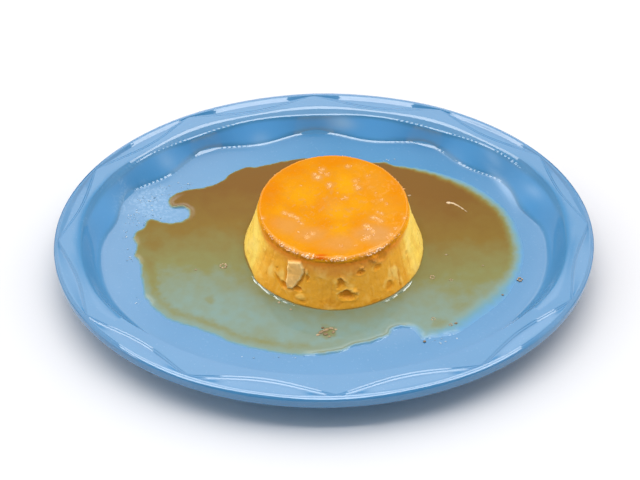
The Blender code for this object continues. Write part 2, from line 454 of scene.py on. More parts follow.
def backWallStations(line):
    # along the back: a soft shoulder, a crease that shines, a straight wall and a bright line at its foot
    ridge, shoulder, crease, foot = line.ridge, line.shoulder, line.crease, line.foot
    shoulderStrike, creaseStrike, footStrike = (strikeOf(inset) for inset in (shoulder, crease, foot))
    facet = np.minimum(mix(1.2, 0.6, line.swell) * mm, 0.4 * (crease - shoulder))
    facetDrop = 0.12 * mm + (facet + 0.1 * mm) * shoulderStrike
    creaseDrop = facetDrop + 0.8 * shoulderStrike * (crease - 0.3 * mm - shoulder - facet)
    wallTop = crease + 0.75 * mm
    wallDrop = crown - creaseDrop - creaseStrike * 0.6 * mm - 0.35 * mm - floorHeight
    footRise = 0.42 * mm + 0.8 * mm * footStrike
    stations = [
        (mix(ridge, shoulder, 0.4), crown),
        (np.maximum(shoulder - 0.6 * mm, ridge + 0.4 * mm), crown - 0.03 * mm),
        (np.maximum(shoulder - 0.1 * mm, ridge + 0.6 * mm), crown - 0.12 * mm),
        (shoulder + facet, crown - facetDrop),
        (crease - 0.3 * mm, crown - creaseDrop),
        (crease + 0.3 * mm, crown - creaseDrop - 0.6 * creaseStrike * mm),
        (wallTop, floorHeight + wallDrop),
    ]
    for share in (0.12, 0.24, 0.36, 0.48, 0.60, 0.72, 0.84, 1.0):
        stations.append((mix(wallTop, foot - 0.7 * mm, share), floorHeight + mix(wallDrop, footRise, share)))
    return stations + [(foot + 0.1 * mm, floorHeight + 0.42 * mm)]


def wellStations(line):
    # along the front the rim ends in a steep wall, and at the sides it rolls over into it
    wallNear, wallFar = plateLook["frontWallInset"]
    wallStart = mix(np.maximum(line.ridge + 0.4 * mm, wallNear), wallFar, plateSteep)
    backWall = backWallStations(line)
    stations = []
    for k, (inset, height) in enumerate(backWall):
        share = k / (len(backWall) - 1)
        sunk = mix(smooth(0.04, 1.0, share**0.75), share, plateSteep)
        rolled = crown - (crown - floorHeight - 0.32 * mm) * sunk
        frontInset = mix(wallStart, line.foot, share)
        stations.append((mix(frontInset, inset, plateBehind), mix(rolled, height, plateBehind)))
    return stations + [
        (line.foot + 1.2 * mm, floorHeight + 0.32 * mm),
        (line.foot + 4.0 * mm, floorHeight + 0.13 * mm),
        (line.foot + 8.0 * mm, floorHeight + 0.02 * mm),
        (38 * mm, floorHeight),
        (60 * mm, floorHeight),
    ]


def hardenLines(mesh, hard):
    # edges that run round the plate are hard where their ring is, so the facets between them stay flat
    ends = np.zeros(2 * len(mesh.edges), int)
    mesh.edges.foreach_get("vertices", ends)
    ring, column = np.divmod(ends.reshape(-1, 2), plateLook["segments"])
    known = (ring.max(axis=1) < len(hard)) & (ring[:, 0] == ring[:, 1])
    flags = known & hard[np.minimum(ring[:, 0], len(hard) - 1), column[:, 0]]
    mesh.attributes.new("sharp_edge", "BOOLEAN", "EDGE").data.foreach_set("value", flags)


def colourPlate(mesh, grid, inset, onTop, line):
    fromCrease, fromFoot = inset - line.crease, inset - line.foot
    onWall = smooth(0.6 * mm, 2.0 * mm, fromCrease) * smooth(-0.9 * mm, -2.2 * mm, fromFoot)
    atBack = smooth(-0.5, 0.3, plateSine)
    # painted light: the back of the wall is painted lighter and bluer than the rest of the plate, standing in
    # for bounced light
    setMask(mesh, "paintedWallLight", onTop * onWall * (atBack * mix(0.5, 1.0, smooth(0.6, 0.95, plateSine))))
    # the floor shines less next to the wall, least of all at the right of the back
    onFloor = smooth(0.3 * mm, 1.5 * mm, fromFoot) * smooth(50 * mm, 40 * mm, inset)
    dullFloor = 0.32 * smooth(0.75, 0.1, np.sin(plateAngle - 0.9)) + bump(wrapped(plateAngle, 75), 0, 42)
    atEnds = smooth(0.75, 0.35, plateSine) * smooth(-0.5, 0.0, plateSine)
    onEnds = atEnds * smooth(-4.0 * mm, -1.5 * mm, fromCrease) * smooth(0.5 * mm, -1.0 * mm, fromFoot)
    setMask(mesh, "dull", onTop * np.maximum(np.maximum(onEnds, onWall * atBack), onFloor * dullFloor))
    # pale streaks of painted reflection on the wall
    paintedReflection = 0 * inset
    for degrees, start, end, reach, lean, amount in paintedWallReflections:
        along = (inset / mm - start) / (end - start)
        off = wrapped(plateAngle, degrees) - lean * (along - 0.5)
        paintedReflection = np.maximum(paintedReflection, amount * bump(off, 0, reach) * bump(along, 0.5, 0.45))
    setMask(mesh, "paintedReflection", onTop * paintedReflection)
    # a haze of fine spray at the left of the back
    spread = noiseAt(grid, 7 * mm, 3, 7.7)
    fromSpray = np.hypot((grid[..., 0] / mm + 84) / 17, (grid[..., 1] / mm - 36) / 15)
    setMask(mesh, "haze", onTop * smooth(1.3, 0.2, fromSpray + 0.5 * spread))


def buildPlate(finish):
    look = plateLook
    line = rimLines()
    beneath, edge, scallop = undersideStations(), edgeStations(line), scallopStations(line)
    # on top a ring stands between the stations, except along the straight wall
    counts = [1] * len(beneath) + [2] * (len(edge) + len(scallop) + 6) + [1] * 9 + [2] * 5
    rings = straightRings(beneath + edge + scallop + wellStations(line), counts)
    inset, height = rings[:, 0], rings[:, 1]

    # fine beading along the crease and the foot of the wall, and a slight unevenness everywhere
    along = plateAngle * (halfLength + halfWidth) / 2 * fullTurn / look["beadLength"]
    beads = np.sin(along + 1.3 * np.sin(7 * plateAngle)) * (0.6 + 0.4 * np.sin(23 * plateAngle))
    beaded = bump(inset, line.crease, 0.6 * mm) + bump(inset, line.foot - 0.2 * mm, 0.8 * mm)
    onTop = np.arange(len(rings))[:, None] > len(beneath) + 2 * len(edge)
    height += onTop * look["beadHeight"] * beads * beaded * plateBehind
    grid = ringPoints(inset, height)
    wave = 0.05 * mm * np.sin(3 * plateAngle + 0.7) + 0.04 * mm * np.sin(5 * plateAngle + 2.1)
    grid[..., 2] += onTop * wave * smooth(28 * mm, 12 * mm, inset)

    startPoint = (plateMiddle.x, plateMiddle.y, plateUnder + 0.3 * mm)
    endPoint = (plateMiddle.x, plateMiddle.y, floorHeight)
    mesh = gridMesh("ovalPlate", grid, startPoint, endPoint)
    # hard lines run along the lip, the scallops, the shoulder, the crease and the foot of the wall
    first = np.cumsum([0] + counts)
    lipStation = len(beneath) + 3
    wallStation = len(beneath) + len(edge) + len(scallop)
    hard = np.zeros(inset.shape, bool)
    hard[first[lipStation:wallStation]] = True
    for station in (*range(7), 14, 15):
        hard[first[wallStation + station]] = (plateBehind > 0.5) | (plateSteep > 0.5)
    hardenLines(mesh, hard)
    colourPlate(mesh, grid, inset, onTop, line)
    return addPiece("ovalPlate", mesh, finish, ("plate",))


def makePlateBlue():
    look = plateLook
    made, tree, shader = startMaterial("plateBlue", look["roughness"], **{
        "Specular IOR Level": 0.15,
        "Coat Roughness": 0.03,
        "Coat IOR": 1.6,
    })
    tree.links.new(mapped(tree, maskOf(tree, "dull"), 1.0, 0.12), shader.inputs["Coat Weight"])
    colour = tint(tree, mottle(tree, 45.0, 0.3, 0.7), look["blue"], look["paleBlue"])
    colour = tint(tree, times(tree, mottle(tree, 700.0, 0.66, 0.72, 1.0), 0.12), colour, look["haze"])
    # over the glaze go painted light on the back of the wall, then pale streaks of painted reflection
    colour = layered(tree, colour, look, ("paintedWallLight", "paintedReflection"))
    cloudy = times(tree, maskOf(tree, "haze"), mapped(tree, mottle(tree, 800.0, 0.45, 0.6), 0.15, 0.6))
    tree.links.new(tint(tree, cloudy, colour, look["haze"]), shader.inputs["Base Color"])
    sheen = mapped(tree, mottle(tree, 160.0), look["roughness"] - 0.04, look["roughness"] + 0.04)
    tree.links.new(sheen, shader.inputs["Roughness"])
    skinGrain(tree, shader, 1400.0, 0.05, 0.0002, 0.6)
    return made


buildPlate(makePlateBlue())
print("plate made")


flanLook = {
    "segments": 540,
    "baseRadius": 43.7 * mm,
    "topRadius": 35.8 * mm,
    "waist": 0.5 * mm,
    "caramelDepth": 3.4 * mm,
    "dish": 0.5 * mm,
    "frontPlace": -92,  # degrees round the flan
}
flanAngle = np.arange(flanLook["segments"]) * fullTurn / flanLook["segments"]
flanArc = flanLook["baseRadius"] * math.pi / 180  # how far one degree is along the flan's foot
capShare = 1 - flanLook["caramelDepth"] / flanHeight


def unevenness(angle, share):
    return (0.5 * mm * np.cos(angle + 1.0) + 0.25 * mm * np.cos(2 * angle + 2.6)) * (1 - 0.7 * share)


def flanRadius(share):
    straight = mix(flanLook["baseRadius"], flanLook["topRadius"], share)
    return straight - flanLook["waist"] * np.sin(math.pi * np.clip(share, 0, 1))


# Marks on the side: degrees round it, share of its height, half sizes in millimetres, lean in degrees, how
# far they stand out (or sink, when negative) in millimetres, and how strongly pale and amber show.
sideMarks = [
    (-111.3, 0.67, 0.9, 1.5, 20, 0.8, 1.0, 0.0),
    (-110.0, 0.55, 1.2, 1.6, 0, -0.6, 0.0, 0.8),
    (-131.0, 0.30, 5.6, 1.0, -38, -0.5, 0.0, 0.75),
    (-126.5, 0.26, 2.3, 1.5, -35, -0.9, 0.0, 1.0),
    (-117.0, 0.29, 3.2, 1.2, 0, -0.8, 0.0, 0.85),
    (-134.6, 0.50, 0.7, 0.8, 0, -0.5, 0.0, 0.5),
    (-113.5, 0.17, 2.6, 1.6, 0, 0.5, 0.35, 0.0),
    (-112.0, 0.08, 2.2, 0.9, 0, -0.3, 0.0, 0.4),
    (-86.5, 0.50, 2.4, 3.0, -30, -0.9, 0.0, 0.8),
    (-84.9, 0.58, 2.5, 0.7, -48, 0.9, 0.75, 0.0),
    (-82.5, 0.27, 4.1, 2.2, -8, -1.5, 0.0, 1.0),
    (-77.6, 0.33, 1.5, 1.3, 20, 0.9, 0.15, 0.55),
    (-72.3, 0.65, 2.3, 1.1, 0, -0.8, 0.0, 0.9),
    (-71.0, 0.74, 1.3, 0.7, 0, 0.6, 0.8, 0.0),
    (-61.5, 0.83, 2.4, 2.2, -40, 1.0, 1.0, 0.0),
    (-53.5, 0.80, 3.2, 2.0, 0, -0.5, 0.0, 0.7),
    (-58.9, 0.64, 2.4, 1.4, 10, -0.5, 0.0, 0.8),
    (-52.5, 0.22, 2.6, 2.8, 10, -0.35, 0.0, 0.7),
    (-65.5, 0.05, 2.6, 0.8, 0, 0.0, 0.0, 0.7),
    (-93.5, 0.16, 3.4, 1.8, 0, 0.0, 0.0, 0.45),
    (-134.0, 0.03, 2.5, 0.7, 0, 0.0, 0.0, 0.4),
    (-30, 0.50, 1.6, 1.3, 10, -0.4, 0.0, 0.35),
    (12, 0.35, 2.2, 1.4, -20, -0.8, 0.0, 0.8),
    (48, 0.62, 1.3, 1.0, 10, -0.6, 0.0, 0.7),
    (84, 0.28, 2.8, 1.4, 25, -0.9, 0.0, 0.9),
    (90, 0.36, 1.6, 0.9, 25, 0.6, 0.6, 0.0),
    (127, 0.50, 1.6, 1.8, -10, -0.7, 0.0, 0.7),
    (168, 0.30, 1.9, 1.2, 20, -0.5, 0.0, 0.5),
]
# Fine cracks: degrees, from and to which share of the height, depth in millimetres and lean in degrees.
sideCracks = [(-93.2, 0.02, 0.55, 0.2, 0), (-44.5, 0.02, 0.42, 0.5, 5), (-49.0, 0.25, 0.75, 0.2, 2)]
sideCracks += [(-38.0, 0.1, 0.8, 0.2, 3), (-31.0, 0.2, 0.8, 0.2, 2), (-66.0, 0.1, 0.5, 0.15, 0)]
sideCracks += [(-99.0, 0.05, 0.5, 0.12, 0), (-142.0, 0.2, 0.8, 0.15, 2), (-150.0, 0.1, 0.7, 0.15, 3)]
sideCracks += [(25.0, 0.10, 0.60, 0.3, 4), (104.0, 0.20, 0.75, 0.3, -3), (150.0, 0.05, 0.50, 0.3, 2)]
# The flap's outline from its top left corner, clockwise: degrees round the side and share of the height.
flapOutline = [(-126.6, 0.75), (-121.5, 0.80), (-116.3, 0.83), (-113.6, 0.74), (-112.8, 0.64), (-115.0, 0.48)]
flapOutline += [(-117.3, 0.38), (-120.0, 0.28), (-122.8, 0.26), (-124.6, 0.36), (-125.6, 0.56)]
flapProud = 1.0 * mm


def distanceInside(x, y, loop):
    # distance to a closed outline, positive inside
    nearest = np.full(x.shape, 1e9)
    inside = np.zeros(x.shape, bool)
    for (ax, ay), (bx, by) in zip(loop, np.roll(loop, -1, axis=0)):
        dx, dy = bx - ax, by - ay
        along = np.clip(((x - ax) * dx + (y - ay) * dy) / (dx * dx + dy * dy), 0, 1)
        nearest = np.minimum(nearest, np.hypot(x - ax - along * dx, y - ay - along * dy))
        inside ^= ((ay > y) != (by > y)) & (x < (y - ay) * dx / (dy if dy else 1e-9) + ax)
    return np.where(inside, nearest, -nearest)


def startSide(shares):
    # the side without its marks, for rings at these shares of the height: radius, noises and colour masks
    share, angle = np.meshgrid(shares, flanAngle, indexing="ij")
    radius = flanRadius(share) + unevenness(angle, share)
    place = np.stack([radius * np.cos(angle), radius * np.sin(angle), share * flanHeight], axis=-1)
    rough = noiseAt(place, 9 * mm, 3, 3.1)
    fine = noiseAt(place, 2.2 * mm, 3, 8.4)
    streaks = noiseAt(place * np.array([1, 1, 0.15]), 4.2 * mm, 2, 5.2)
    threads = noiseAt(place * np.array([1, 1, 0.06]), 1.1 * mm, 2, 15.2)
    radius = radius + 0.25 * mm * rough + 0.09 * mm * fine
    radius = radius + 0.12 * mm * streaks * (1 - share) + 0.015 * mm * threads
    # the lower left bulges and steps back in at the foot
    radius += 0.9 * mm * bump(wrapped(angle, -146), 0, 9) * bump(share, 0.05, 0.25)
    radius -= 0.6 * mm * bump(wrapped(angle, -165), 0, 8) * bump(share, 0.1, 0.3)
    front = bump(wrapped(angle, -88), 0, 55)
    amber = 0.35 * smooth(0.15, 0.8, streaks + 0.5 * rough) * mix(0.6, 1.0, front) * smooth(0.9, 0.3, share)
    amber += 0.06 * smooth(0.1, 0.6, threads) * smooth(-0.2, 0.4, rough)
    pale = 0.45 * smooth(0.15, 0.7, rough - 0.4 * streaks) + 0.12 * smooth(0.1, 0.5, -threads)
    pale *= smooth(0.95, 0.75, share)
    return SimpleNamespace(
        share=share, angle=angle, radius=radius, rough=rough, fine=fine, streaks=streaks, threads=threads,
        front=front, amber=amber, pale=pale,
    )


def addMarks(form):
    for degrees, height, halfWide, halfTall, lean, out, paleness, amberness in sideMarks:
        across = wrapped(form.angle, degrees) * flanArc / mm
        up = (form.share - height) * flanHeight / mm
        c, s = math.cos(math.radians(lean)), math.sin(math.radians(lean))
        across, up = across * c + up * s, up * c - across * s
        reach = np.hypot(across / halfWide, up / halfTall) + 0.35 * form.fine + 0.2 * form.rough
        form.radius += out * mm * smooth(1.15, 0.35, reach)
        if out < 0:
            # a pit has a slight rim, pale above it as a painted highlight
            form.radius -= 0.15 * out * mm * bump(reach, 1.3, 0.22)
            form.pale = np.maximum(form.pale, 0.5 * amberness * bump(reach, 1.25, 0.18) * (up > 0.2))
        else:
            # a raised mark gets painted shade in amber below it
            form.amber = np.maximum(form.amber, 0.5 * bump(reach, 1.35, 0.25) * (up < 0.2))
        inside = smooth(1.2, 0.5, reach)
        if paleness > 0:
            form.amber = form.amber * (1 - inside)
        else:
            form.amber = np.maximum(form.amber, amberness * inside)
        form.pale = np.maximum(form.pale * (1 - amberness * inside), paleness * inside)


def addCracks(form):
    for degrees, low, high, depth, lean in sideCracks:
        across = (wrapped(form.angle, degrees) - lean * (form.share - low)) * flanArc / mm
        across = across + 0.5 * form.fine + 0.4 * form.rough
        inside = smooth(low - 0.03, low + 0.08, form.share) * smooth(high + 0.05, high - 0.1, form.share)
        form.radius -= depth * mm * bump(across, 0, 0.3) * inside
        amberness = np.minimum(2.2 * depth, 0.9)
        form.amber = np.maximum(form.amber, amberness * bump(across, 0, 0.45) * inside)


def addFlap(form):
    # a pale flake that stands proud, with a ragged edge, over a hollow that is sunk and painted with amber
    # shadow
    outline = np.array(flapOutline) * np.array([flanArc / mm, flanHeight / mm])
    reach = distanceInside(wrapped(form.angle, 0) * flanArc / mm, form.share * flanHeight / mm, outline)
    reach = reach + 0.35 * form.fine + 0.25 * form.rough
    inFlap = smooth(-0.5, 0.5, reach)
    form.radius += inFlap * (flapProud + 0.12 * mm * form.fine + 0.2 * mm * form.rough)
    below = bump(reach, -0.9, 0.7) * smooth(0.78, 0.55, form.share)
    form.radius -= 0.35 * mm * below
    # painted shadow in amber in the hollow under the flake
    form.amber = np.maximum(form.amber * (1 - inFlap), 0.75 * below)
    form.pale = form.pale * (1 - inFlap)
    form.flake = inFlap * mix(0.75, 1.0, smooth(-0.3, 0.3, form.rough))
    form.flakeEdge = inFlap * bump(reach, 0.45, 0.45)
    return inFlap


def flanSide(shares):
    form = startSide(shares)
    addMarks(form)
    addCracks(form)
    inFlap = addFlap(form)
    # a film of caramel that ran down from the top, deepest in front
    reachDown = 0.90 - 0.25 * bump(wrapped(form.angle, flanLook["frontPlace"]), 0, 62)
    reachDown = reachDown + 0.06 * form.streaks + 0.05 * form.rough
    edge = mix(0.05, 0.11, form.front)
    inFront = smooth(88, 52, np.abs(wrapped(form.angle, -95))) * (1 - inFlap)
    worn = mix(0.75, 1.0, smooth(-0.3, 0.4, form.fine + form.threads))
    form.film = smooth(reachDown - edge, reachDown + edge, form.share) * (inFront * worn)
    aside = np.abs(wrapped(form.angle, flanLook["frontPlace"]))
    form.golden = smooth(72, 50, aside + 8 * form.rough)
    return form


def ringsAround(radius, height):
    x = flanMiddle.x + radius * np.cos(flanAngle)
    y = flanMiddle.y + radius * np.sin(flanAngle)
    return np.stack([x, y, np.broadcast_to(height, x.shape)], axis=-1)


def buildCustard(finish):
    shares = np.linspace(0.0, capShare + 0.01, 96)
    form = flanSide(shares)
    heights = custardLow.z + shares * flanHeight
    low, high = heights[0] - 0.05 * mm, heights[-1] + 0.1 * mm
    under = ringsAround(form.radius[0] - 2 * mm, low)
    sides = ringsAround(form.radius, heights[:, None])
    over = ringsAround(form.radius[-1] - 1.5 * mm, high)
    grid = np.concatenate([under[None], sides, over[None]])
    middle = (flanMiddle.x, flanMiddle.y)
    mesh = gridMesh("custardSide", grid, (*middle, low), (*middle, high))
    # painted shade in brown round the foot, where the custard meets the syrup
    form.foot = smooth(0.07, 0.0, shares)[:, None] * np.ones_like(form.radius)
    form.rimShade = bump(shares, 0.86, 0.045)[:, None] * smooth(82, 50, np.abs(wrapped(flanAngle, -96)))
    for title in ("amber", "pale", "film", "golden", "foot", "flake", "flakeEdge", "rimShade"):
        mask = np.clip(getattr(form, title), 0, 1)
        setMask(mesh, title, np.concatenate([mask[:1], mask, mask[-1:]]))
    return addPiece("custardBody", mesh, finish, ("custard",))


# Specks of froth on the top: place from its middle, size in millimetres and strength.
topSpecks = [
    (-6.8, 20.6, 1.5, 1.0), (-8.3, 22.4, 1.1, 0.6), (-4.5, 25.7, 1.3, 0.7), (-2.4, 22.4, 1.1, 0.6),
    (-5.2, 23.6, 1.0, 0.5), (-1.1, 14.9, 1.2, 0.9), (-1.9, 13.0, 0.9, 0.4), (8.0, 27.3, 1.0, 0.7),
    (11.4, 17.3, 1.3, 0.5), (12.3, 12.5, 1.4, 0.7), (11.2, 14.6, 0.9, 0.4), (6.1, 5.6, 1.0, 0.6),
    (4.3, 4.6, 0.6, 0.4), (2.2, 9.2, 0.5, 0.3), (-23.4, -4.3, 1.2, 0.6), (-21.9, -5.0, 0.9, 0.5),
    (-20.3, -6.0, 1.2, 0.8), (-18.8, -7.0, 0.9, 0.8), (-17.4, -8.0, 1.1, 0.8), (-15.6, -11.5, 0.9, 0.6),
    (-16.8, -10.2, 0.6, 0.4), (-17.1, -17.5, 0.8, 0.6), (-13.3, -21.1, 1.7, 0.7), (-10.3, -18.9, 1.6, 0.5),
    (18.8, -8.7, 1.3, 0.8), (20.6, -9.8, 1.1, 0.7), (21.9, -11.1, 1.4, 0.7), (22.8, -6.0, 1.0, 0.5),
    (21.0, -5.0, 0.9, 0.4), (15.4, -14.6, 1.5, 1.0), (16.9, -16.2, 1.2, 0.9), (18.1, -18.7, 1.4, 0.9),
    (14.4, -16.4, 0.8, 0.5), (15.3, -22.7, 1.7, 0.9), (12.7, -24.0, 1.0, 0.4), (26.4, -21.2, 1.3, 0.7),
    (24.6, -22.6, 1.1, 0.5), (23.4, 3.6, 1.1, 0.4), (25.4, 0.4, 0.9, 0.35), (33.8, -10.0, 1.0, 0.6),
    (-33.9, -7.8, 1.0, 0.6), (20.6, 8.8, 0.7, 0.25), (17.3, 20.3, 1.2, 0.25), (9.8, -27.5, 0.8, 0.4),
    (2.4, -27.8, 0.9, 0.4), (-15.2, 14.6, 0.7, 0.2), (28.8, -17.0, 1.2, 0.5), (34.6, 10.4, 0.8, 0.6),
]
# Broad patches of colour on the top: which mask, place, half sizes in millimetres, amount.
topPatches = [
    ("milky", (-22, -13), (8, 6), 0.6), ("milky", (-11, -19), (8, 6), 0.8), ("milky", (20, 15), (7, 7), 0.15),
    ("milky", (25, -1), (6, 8), 0.1), ("milky", (19, -21), (10, 8), 1.0), ("milky", (2, -26), (12, 6), 0.6),
    ("milky", (-1, 1), (6, 6), 0.2),
    ("golden", (-15, 9), (9, 8), 0.8), ("golden", (7, 14), (5, 8), 1.0), ("golden", (3, -4), (7, 6), 0.8),
    ("golden", (-26, -2), (5, 5), 0.4), ("golden", (12, 2), (6, 6), 0.5), ("golden", (2, -16), (5, 5), 0.6),
    ("deep", (-31, 12), (7, 13), 1.0), ("deep", (-20, 27), (8, 5), 0.8), ("deep", (-6, 1.5), (3, 6), 0.45),
    ("deep", (-5, -12), (5, 5), 0.4), ("deep", (2, 32), (16, 4), 0.7), ("deep", (31, 13), (5, 12), 0.6),
    ("deep", (-29, -11), (4, 7), 0.5), ("deep", (12, -10), (4, 6), 0.35), ("deep", (-6, -30), (8, 3), 0.3),
    ("deep", (31, -9), (3, 6), 0.4), ("deep", (13, -29), (6, 3), 0.3),
]
# Where the froth on the rim thickens in front: degrees, reach in degrees, amount.
thickFroth = [(-128, 14, 0.9), (-111, 6, 1.0), (-88, 7, 1.0), (-58, 13, 1.0), (-143, 8, 0.5)]
# Two small holes in the top, from its middle in millimetres.
topHoles = [(15.3, -22.7), (-26.4, -22.6)]
capSideRings = 16
capRound = (15, 30, 45, 60, 75)  # degrees of the rings that round the rim over


def rimShape(radius):
    # the rim of the cap at every angle: a frothy lip that stands a little over the side in front
    ring = 40 * mm * np.stack([np.cos(flanAngle), np.sin(flanAngle), 0 * flanAngle], axis=-1)
    ragged = noiseAt(ring, 1.5 * mm, 3, 2.2)
    slow = noiseAt(ring, 6 * mm, 2, 6.1)
    front = bump(wrapped(flanAngle, -90), 0, 62)
    # the froth thickens in places and breaks off in others
    thick = np.zeros_like(flanAngle)
    for degrees, reach, amount in thickFroth:
        thick = np.maximum(thick, amount * bump(wrapped(flanAngle, degrees), 0, reach))
    thick = np.clip(thick + 0.25 * slow, 0, 1) * (1 - 0.9 * bump(wrapped(flanAngle, -101), 0, 5))
    return SimpleNamespace(
        ragged=ragged, front=front, thick=thick, radius=radius,
        lip=0.45 * mm * front * (1 + 0.5 * slow) + 0.22 * mm * ragged * front,
        roundness=mix(0.7, 1.1, front) * mm,
    )


def capTop(rim):
    # the grid of the top, and its masks
    shares = np.linspace(1.0, 0.004, 150)
    reachOut = (rim.radius + rim.lip - rim.roundness)[None] * shares[:, None]
    x, y = reachOut * np.cos(flanAngle), reachOut * np.sin(flanAngle)
    place = np.stack([x, y, 0 * x], axis=-1)
    cloud = noiseAt(place, 12 * mm, 3, 1.3)
    grainy = noiseAt(place, 2.6 * mm, 3, 9.7)
    dust = noiseAt(place, 0.9 * mm, 2, 4.4)
    z = topHigh.z - flanLook["dish"] * smooth(1.0, 0.55, shares)[:, None]
    z = z + 0.10 * mm * cloud + 0.05 * mm * grainy
    masks = {title: np.zeros_like(x) for title in ("froth", "milky", "golden", "deep")}

    def raiseTo(title, values):
        masks[title] = np.maximum(masks[title], values)

    def fromPlace(atX, atY, sizeX=1, sizeY=1):
        return np.hypot((x / mm - atX) / sizeX, (y / mm - atY) / sizeY)

    for title, (atX, atY), (sizeX, sizeY), amount in topPatches:
        reach = fromPlace(atX, atY, sizeX, sizeY) + 0.35 * cloud + 0.10 * grainy
        raiseTo(title, amount * smooth(1.5, 0.2, reach))
    outer = smooth(0.86, 1.0, shares)[:, None]
    masks["deep"] *= 1 + 0.2 * cloud
    raiseTo("deep", 0.6 * outer * smooth(0.6, -0.2, rim.front))
    for atX, atY, size, strength in topSpecks:
        reach = fromPlace(atX, atY) / size + 0.45 * dust + 0.15 * grainy
        raiseTo("froth", 0.7 * strength * smooth(1.2, 0.35, reach))
        raiseTo("milky", 0.75 * strength * smooth(2.6, 0.8, reach))
        z += 0.16 * mm * strength * smooth(1.2, 0.5, reach)
    for atX, atY in topHoles:
        z -= 0.5 * mm * bump(fromPlace(atX, atY), 0, 0.45)
    # faint ripples that run in from the froth on the right, and wisps about the middle
    rays = smooth(6, 22, x / mm) * smooth(0.1, 0.5, grainy + 0.5 * cloud) * smooth(-0.3, 0.3, dust)
    raiseTo("froth", 0.20 * rays)
    wisps = smooth(0.25, 0.6, grainy - 0.3 * cloud + 0.4 * dust) * smooth(30, 10, fromPlace(-6, -2))
    raiseTo("milky", 0.5 * wisps)
    rimLine = bump(shares, 1.0, 0.010)[:, None] * mix(0.45, 0.8, rim.front) * (0.8 + 0.4 * rim.ragged)
    start = mix(0.988, 0.955, rim.thick) + 0.008 * rim.ragged
    band = smooth(start, start + 0.012, shares[:, None]) * mix(0.15, 0.5, rim.thick)
    band = band * (0.8 + 0.5 * dust) * smooth(0.1, 0.5, rim.front)
    raiseTo("froth", np.maximum(rimLine, band))
    beadedRim = bump(shares, 0.985, 0.02)[:, None] * (1 + rim.ragged * rim.front)
    z += 0.14 * mm * beadedRim * mix(0.3, 1.0, rim.front)
    masks["burnt"] = bump(np.hypot((x / mm + 6.9) / 2.6, (y / mm + 34.0) / 0.9), 0, 1.1)
    masks["film"] = masks["outside"] = np.zeros_like(x)
    return np.stack([flanMiddle.x + x, flanMiddle.y + y, z], axis=-1), masks


def capSideMasks(rim):
    # under the froth the cap's side is brown in front, with two golden windows, and clears towards the sides
    ones = np.ones((1 + capSideRings + len(capRound), len(flanAngle)))
    level = np.arange(len(ones))[:, None]  # counts the rings up from the foot of the cap
    burnt = ones * bump(wrapped(flanAngle, -101.5), 0, 5.0) * smooth(15, 19, level)
    frothEnd = mix(19.0, 15.0, rim.thick) + 1.5 * rim.ragged
    froth = smooth(frothEnd - 1, frothEnd + 1, level) * mix(0.15, 0.5, rim.thick)
    froth = froth * smooth(0.05, 0.5, rim.front)
    windows = np.maximum(bump(wrapped(flanAngle, -101), 0, 6.5), 0.9 * bump(wrapped(flanAngle, -82), 0, 8.0))
    clear = 1 - windows * smooth(6, 12, level + 2 * rim.ragged)
    browned = smooth(84, 50, np.abs(wrapped(flanAngle, -96))) * clear
    return {
        "froth": froth * (1 - burnt),
        "milky": 0.0 * ones,
        "golden": 0.0 * ones,
        "deep": 0.3 * ones,
        "burnt": burnt,
        "film": smooth(20, 16, level) * browned * mix(0.75, 1.0, smooth(-0.3, 0.3, rim.ragged)) * ones,
        "outside": smooth(22, 14, level) * ones,
    }


def buildCaramelTop(finish):
    shares = np.linspace(capShare, 1 - 1.3 * mm / flanHeight, capSideRings)
    radius = flanSide(shares).radius
    heights = custardLow.z + shares * flanHeight
    rim = rimShape(radius[-1])
    low = heights[0] + 0.02 * mm
    rings = [ringsAround(radius[0] - 2.0 * mm, low)]
    for i in range(capSideRings):
        lipped = rim.lip * smooth(0.2, 1.0, i / (capSideRings - 1))
        rings.append(ringsAround(radius[i] + lipped, heights[i]))
    for turned in map(math.radians, capRound):
        outward = rim.radius + rim.lip - rim.roundness * (1 - math.cos(turned)) * (1 + 0.35 * rim.ragged)
        rings.append(ringsAround(outward, heights[-1] + (topHigh.z - heights[-1]) * math.sin(turned)))
    top, masks = capTop(rim)
    middle = (flanMiddle.x, flanMiddle.y)
    grid = np.array(rings + list(top))
    mesh = gridMesh("caramelTop", grid, (*middle, low), (*middle, float(top[-1, :, 2].mean())))
    for title, side in capSideMasks(rim).items():
        setMask(mesh, title, np.clip(np.concatenate([side, masks[title]]), 0, 1))
    addPiece("caramelCap", mesh, finish, ("caramel_top",))
    rim.edge, rim.start, rim.top = rim.radius + rim.lip, float(heights[-1]), topHigh.z
    return rim


custardColours = {
    "yellow": (1.0, 0.66, 0.105),
    "light": (1.0, 0.72, 0.15),
    "golden": (0.83, 0.37, 0.028),
    "film": (0.72, 0.27, 0.030),
    "amber": (0.62, 0.215, 0.006),
    "pale": (1.0, 0.70, 0.20),
    "paintedFootShade": (0.40, 0.17, 0.015),
    "flake": (0.80, 0.45, 0.14),
    "flakeEdge": (1.0, 0.66, 0.25),
    "rimShade": (0.70, 0.20, 0.006),
}


def makeCustardYellow():
    look = custardColours
    made, tree, shader = startMaterial("custardYellow", 0.38, **{"Specular IOR Level": 0.2})
    colour = tint(tree, mottle(tree, 90.0, 0.35, 0.7), look["yellow"], look["light"])
    colour = tint(tree, maskOf(tree, "golden"), colour, look["golden"])
    colour = tint(tree, times(tree, mottle(tree, 260.0, 0.5, 0.75), 0.25), colour, look["amber"])
    colour = layered(tree, colour, look, ("pale", "film"))
    colour = tint(tree, times(tree, maskOf(tree, "rimShade"), 0.8), colour, look["rimShade"])
    colour = layered(tree, colour, look, ("amber", "flake", "flakeEdge"))
    # painted shade at the foot of the custard
    colour = tint(tree, times(tree, maskOf(tree, "foot"), 0.35), colour, look["paintedFootShade"])
    tree.links.new(colour, shader.inputs["Base Color"])
    tree.links.new(mapped(tree, mottle(tree, 220.0), 0.25, 0.45), shader.inputs["Roughness"])
    skinGrain(tree, shader, 1100.0, 0.3, 0.0004, 0.5, 0.25)
    return made


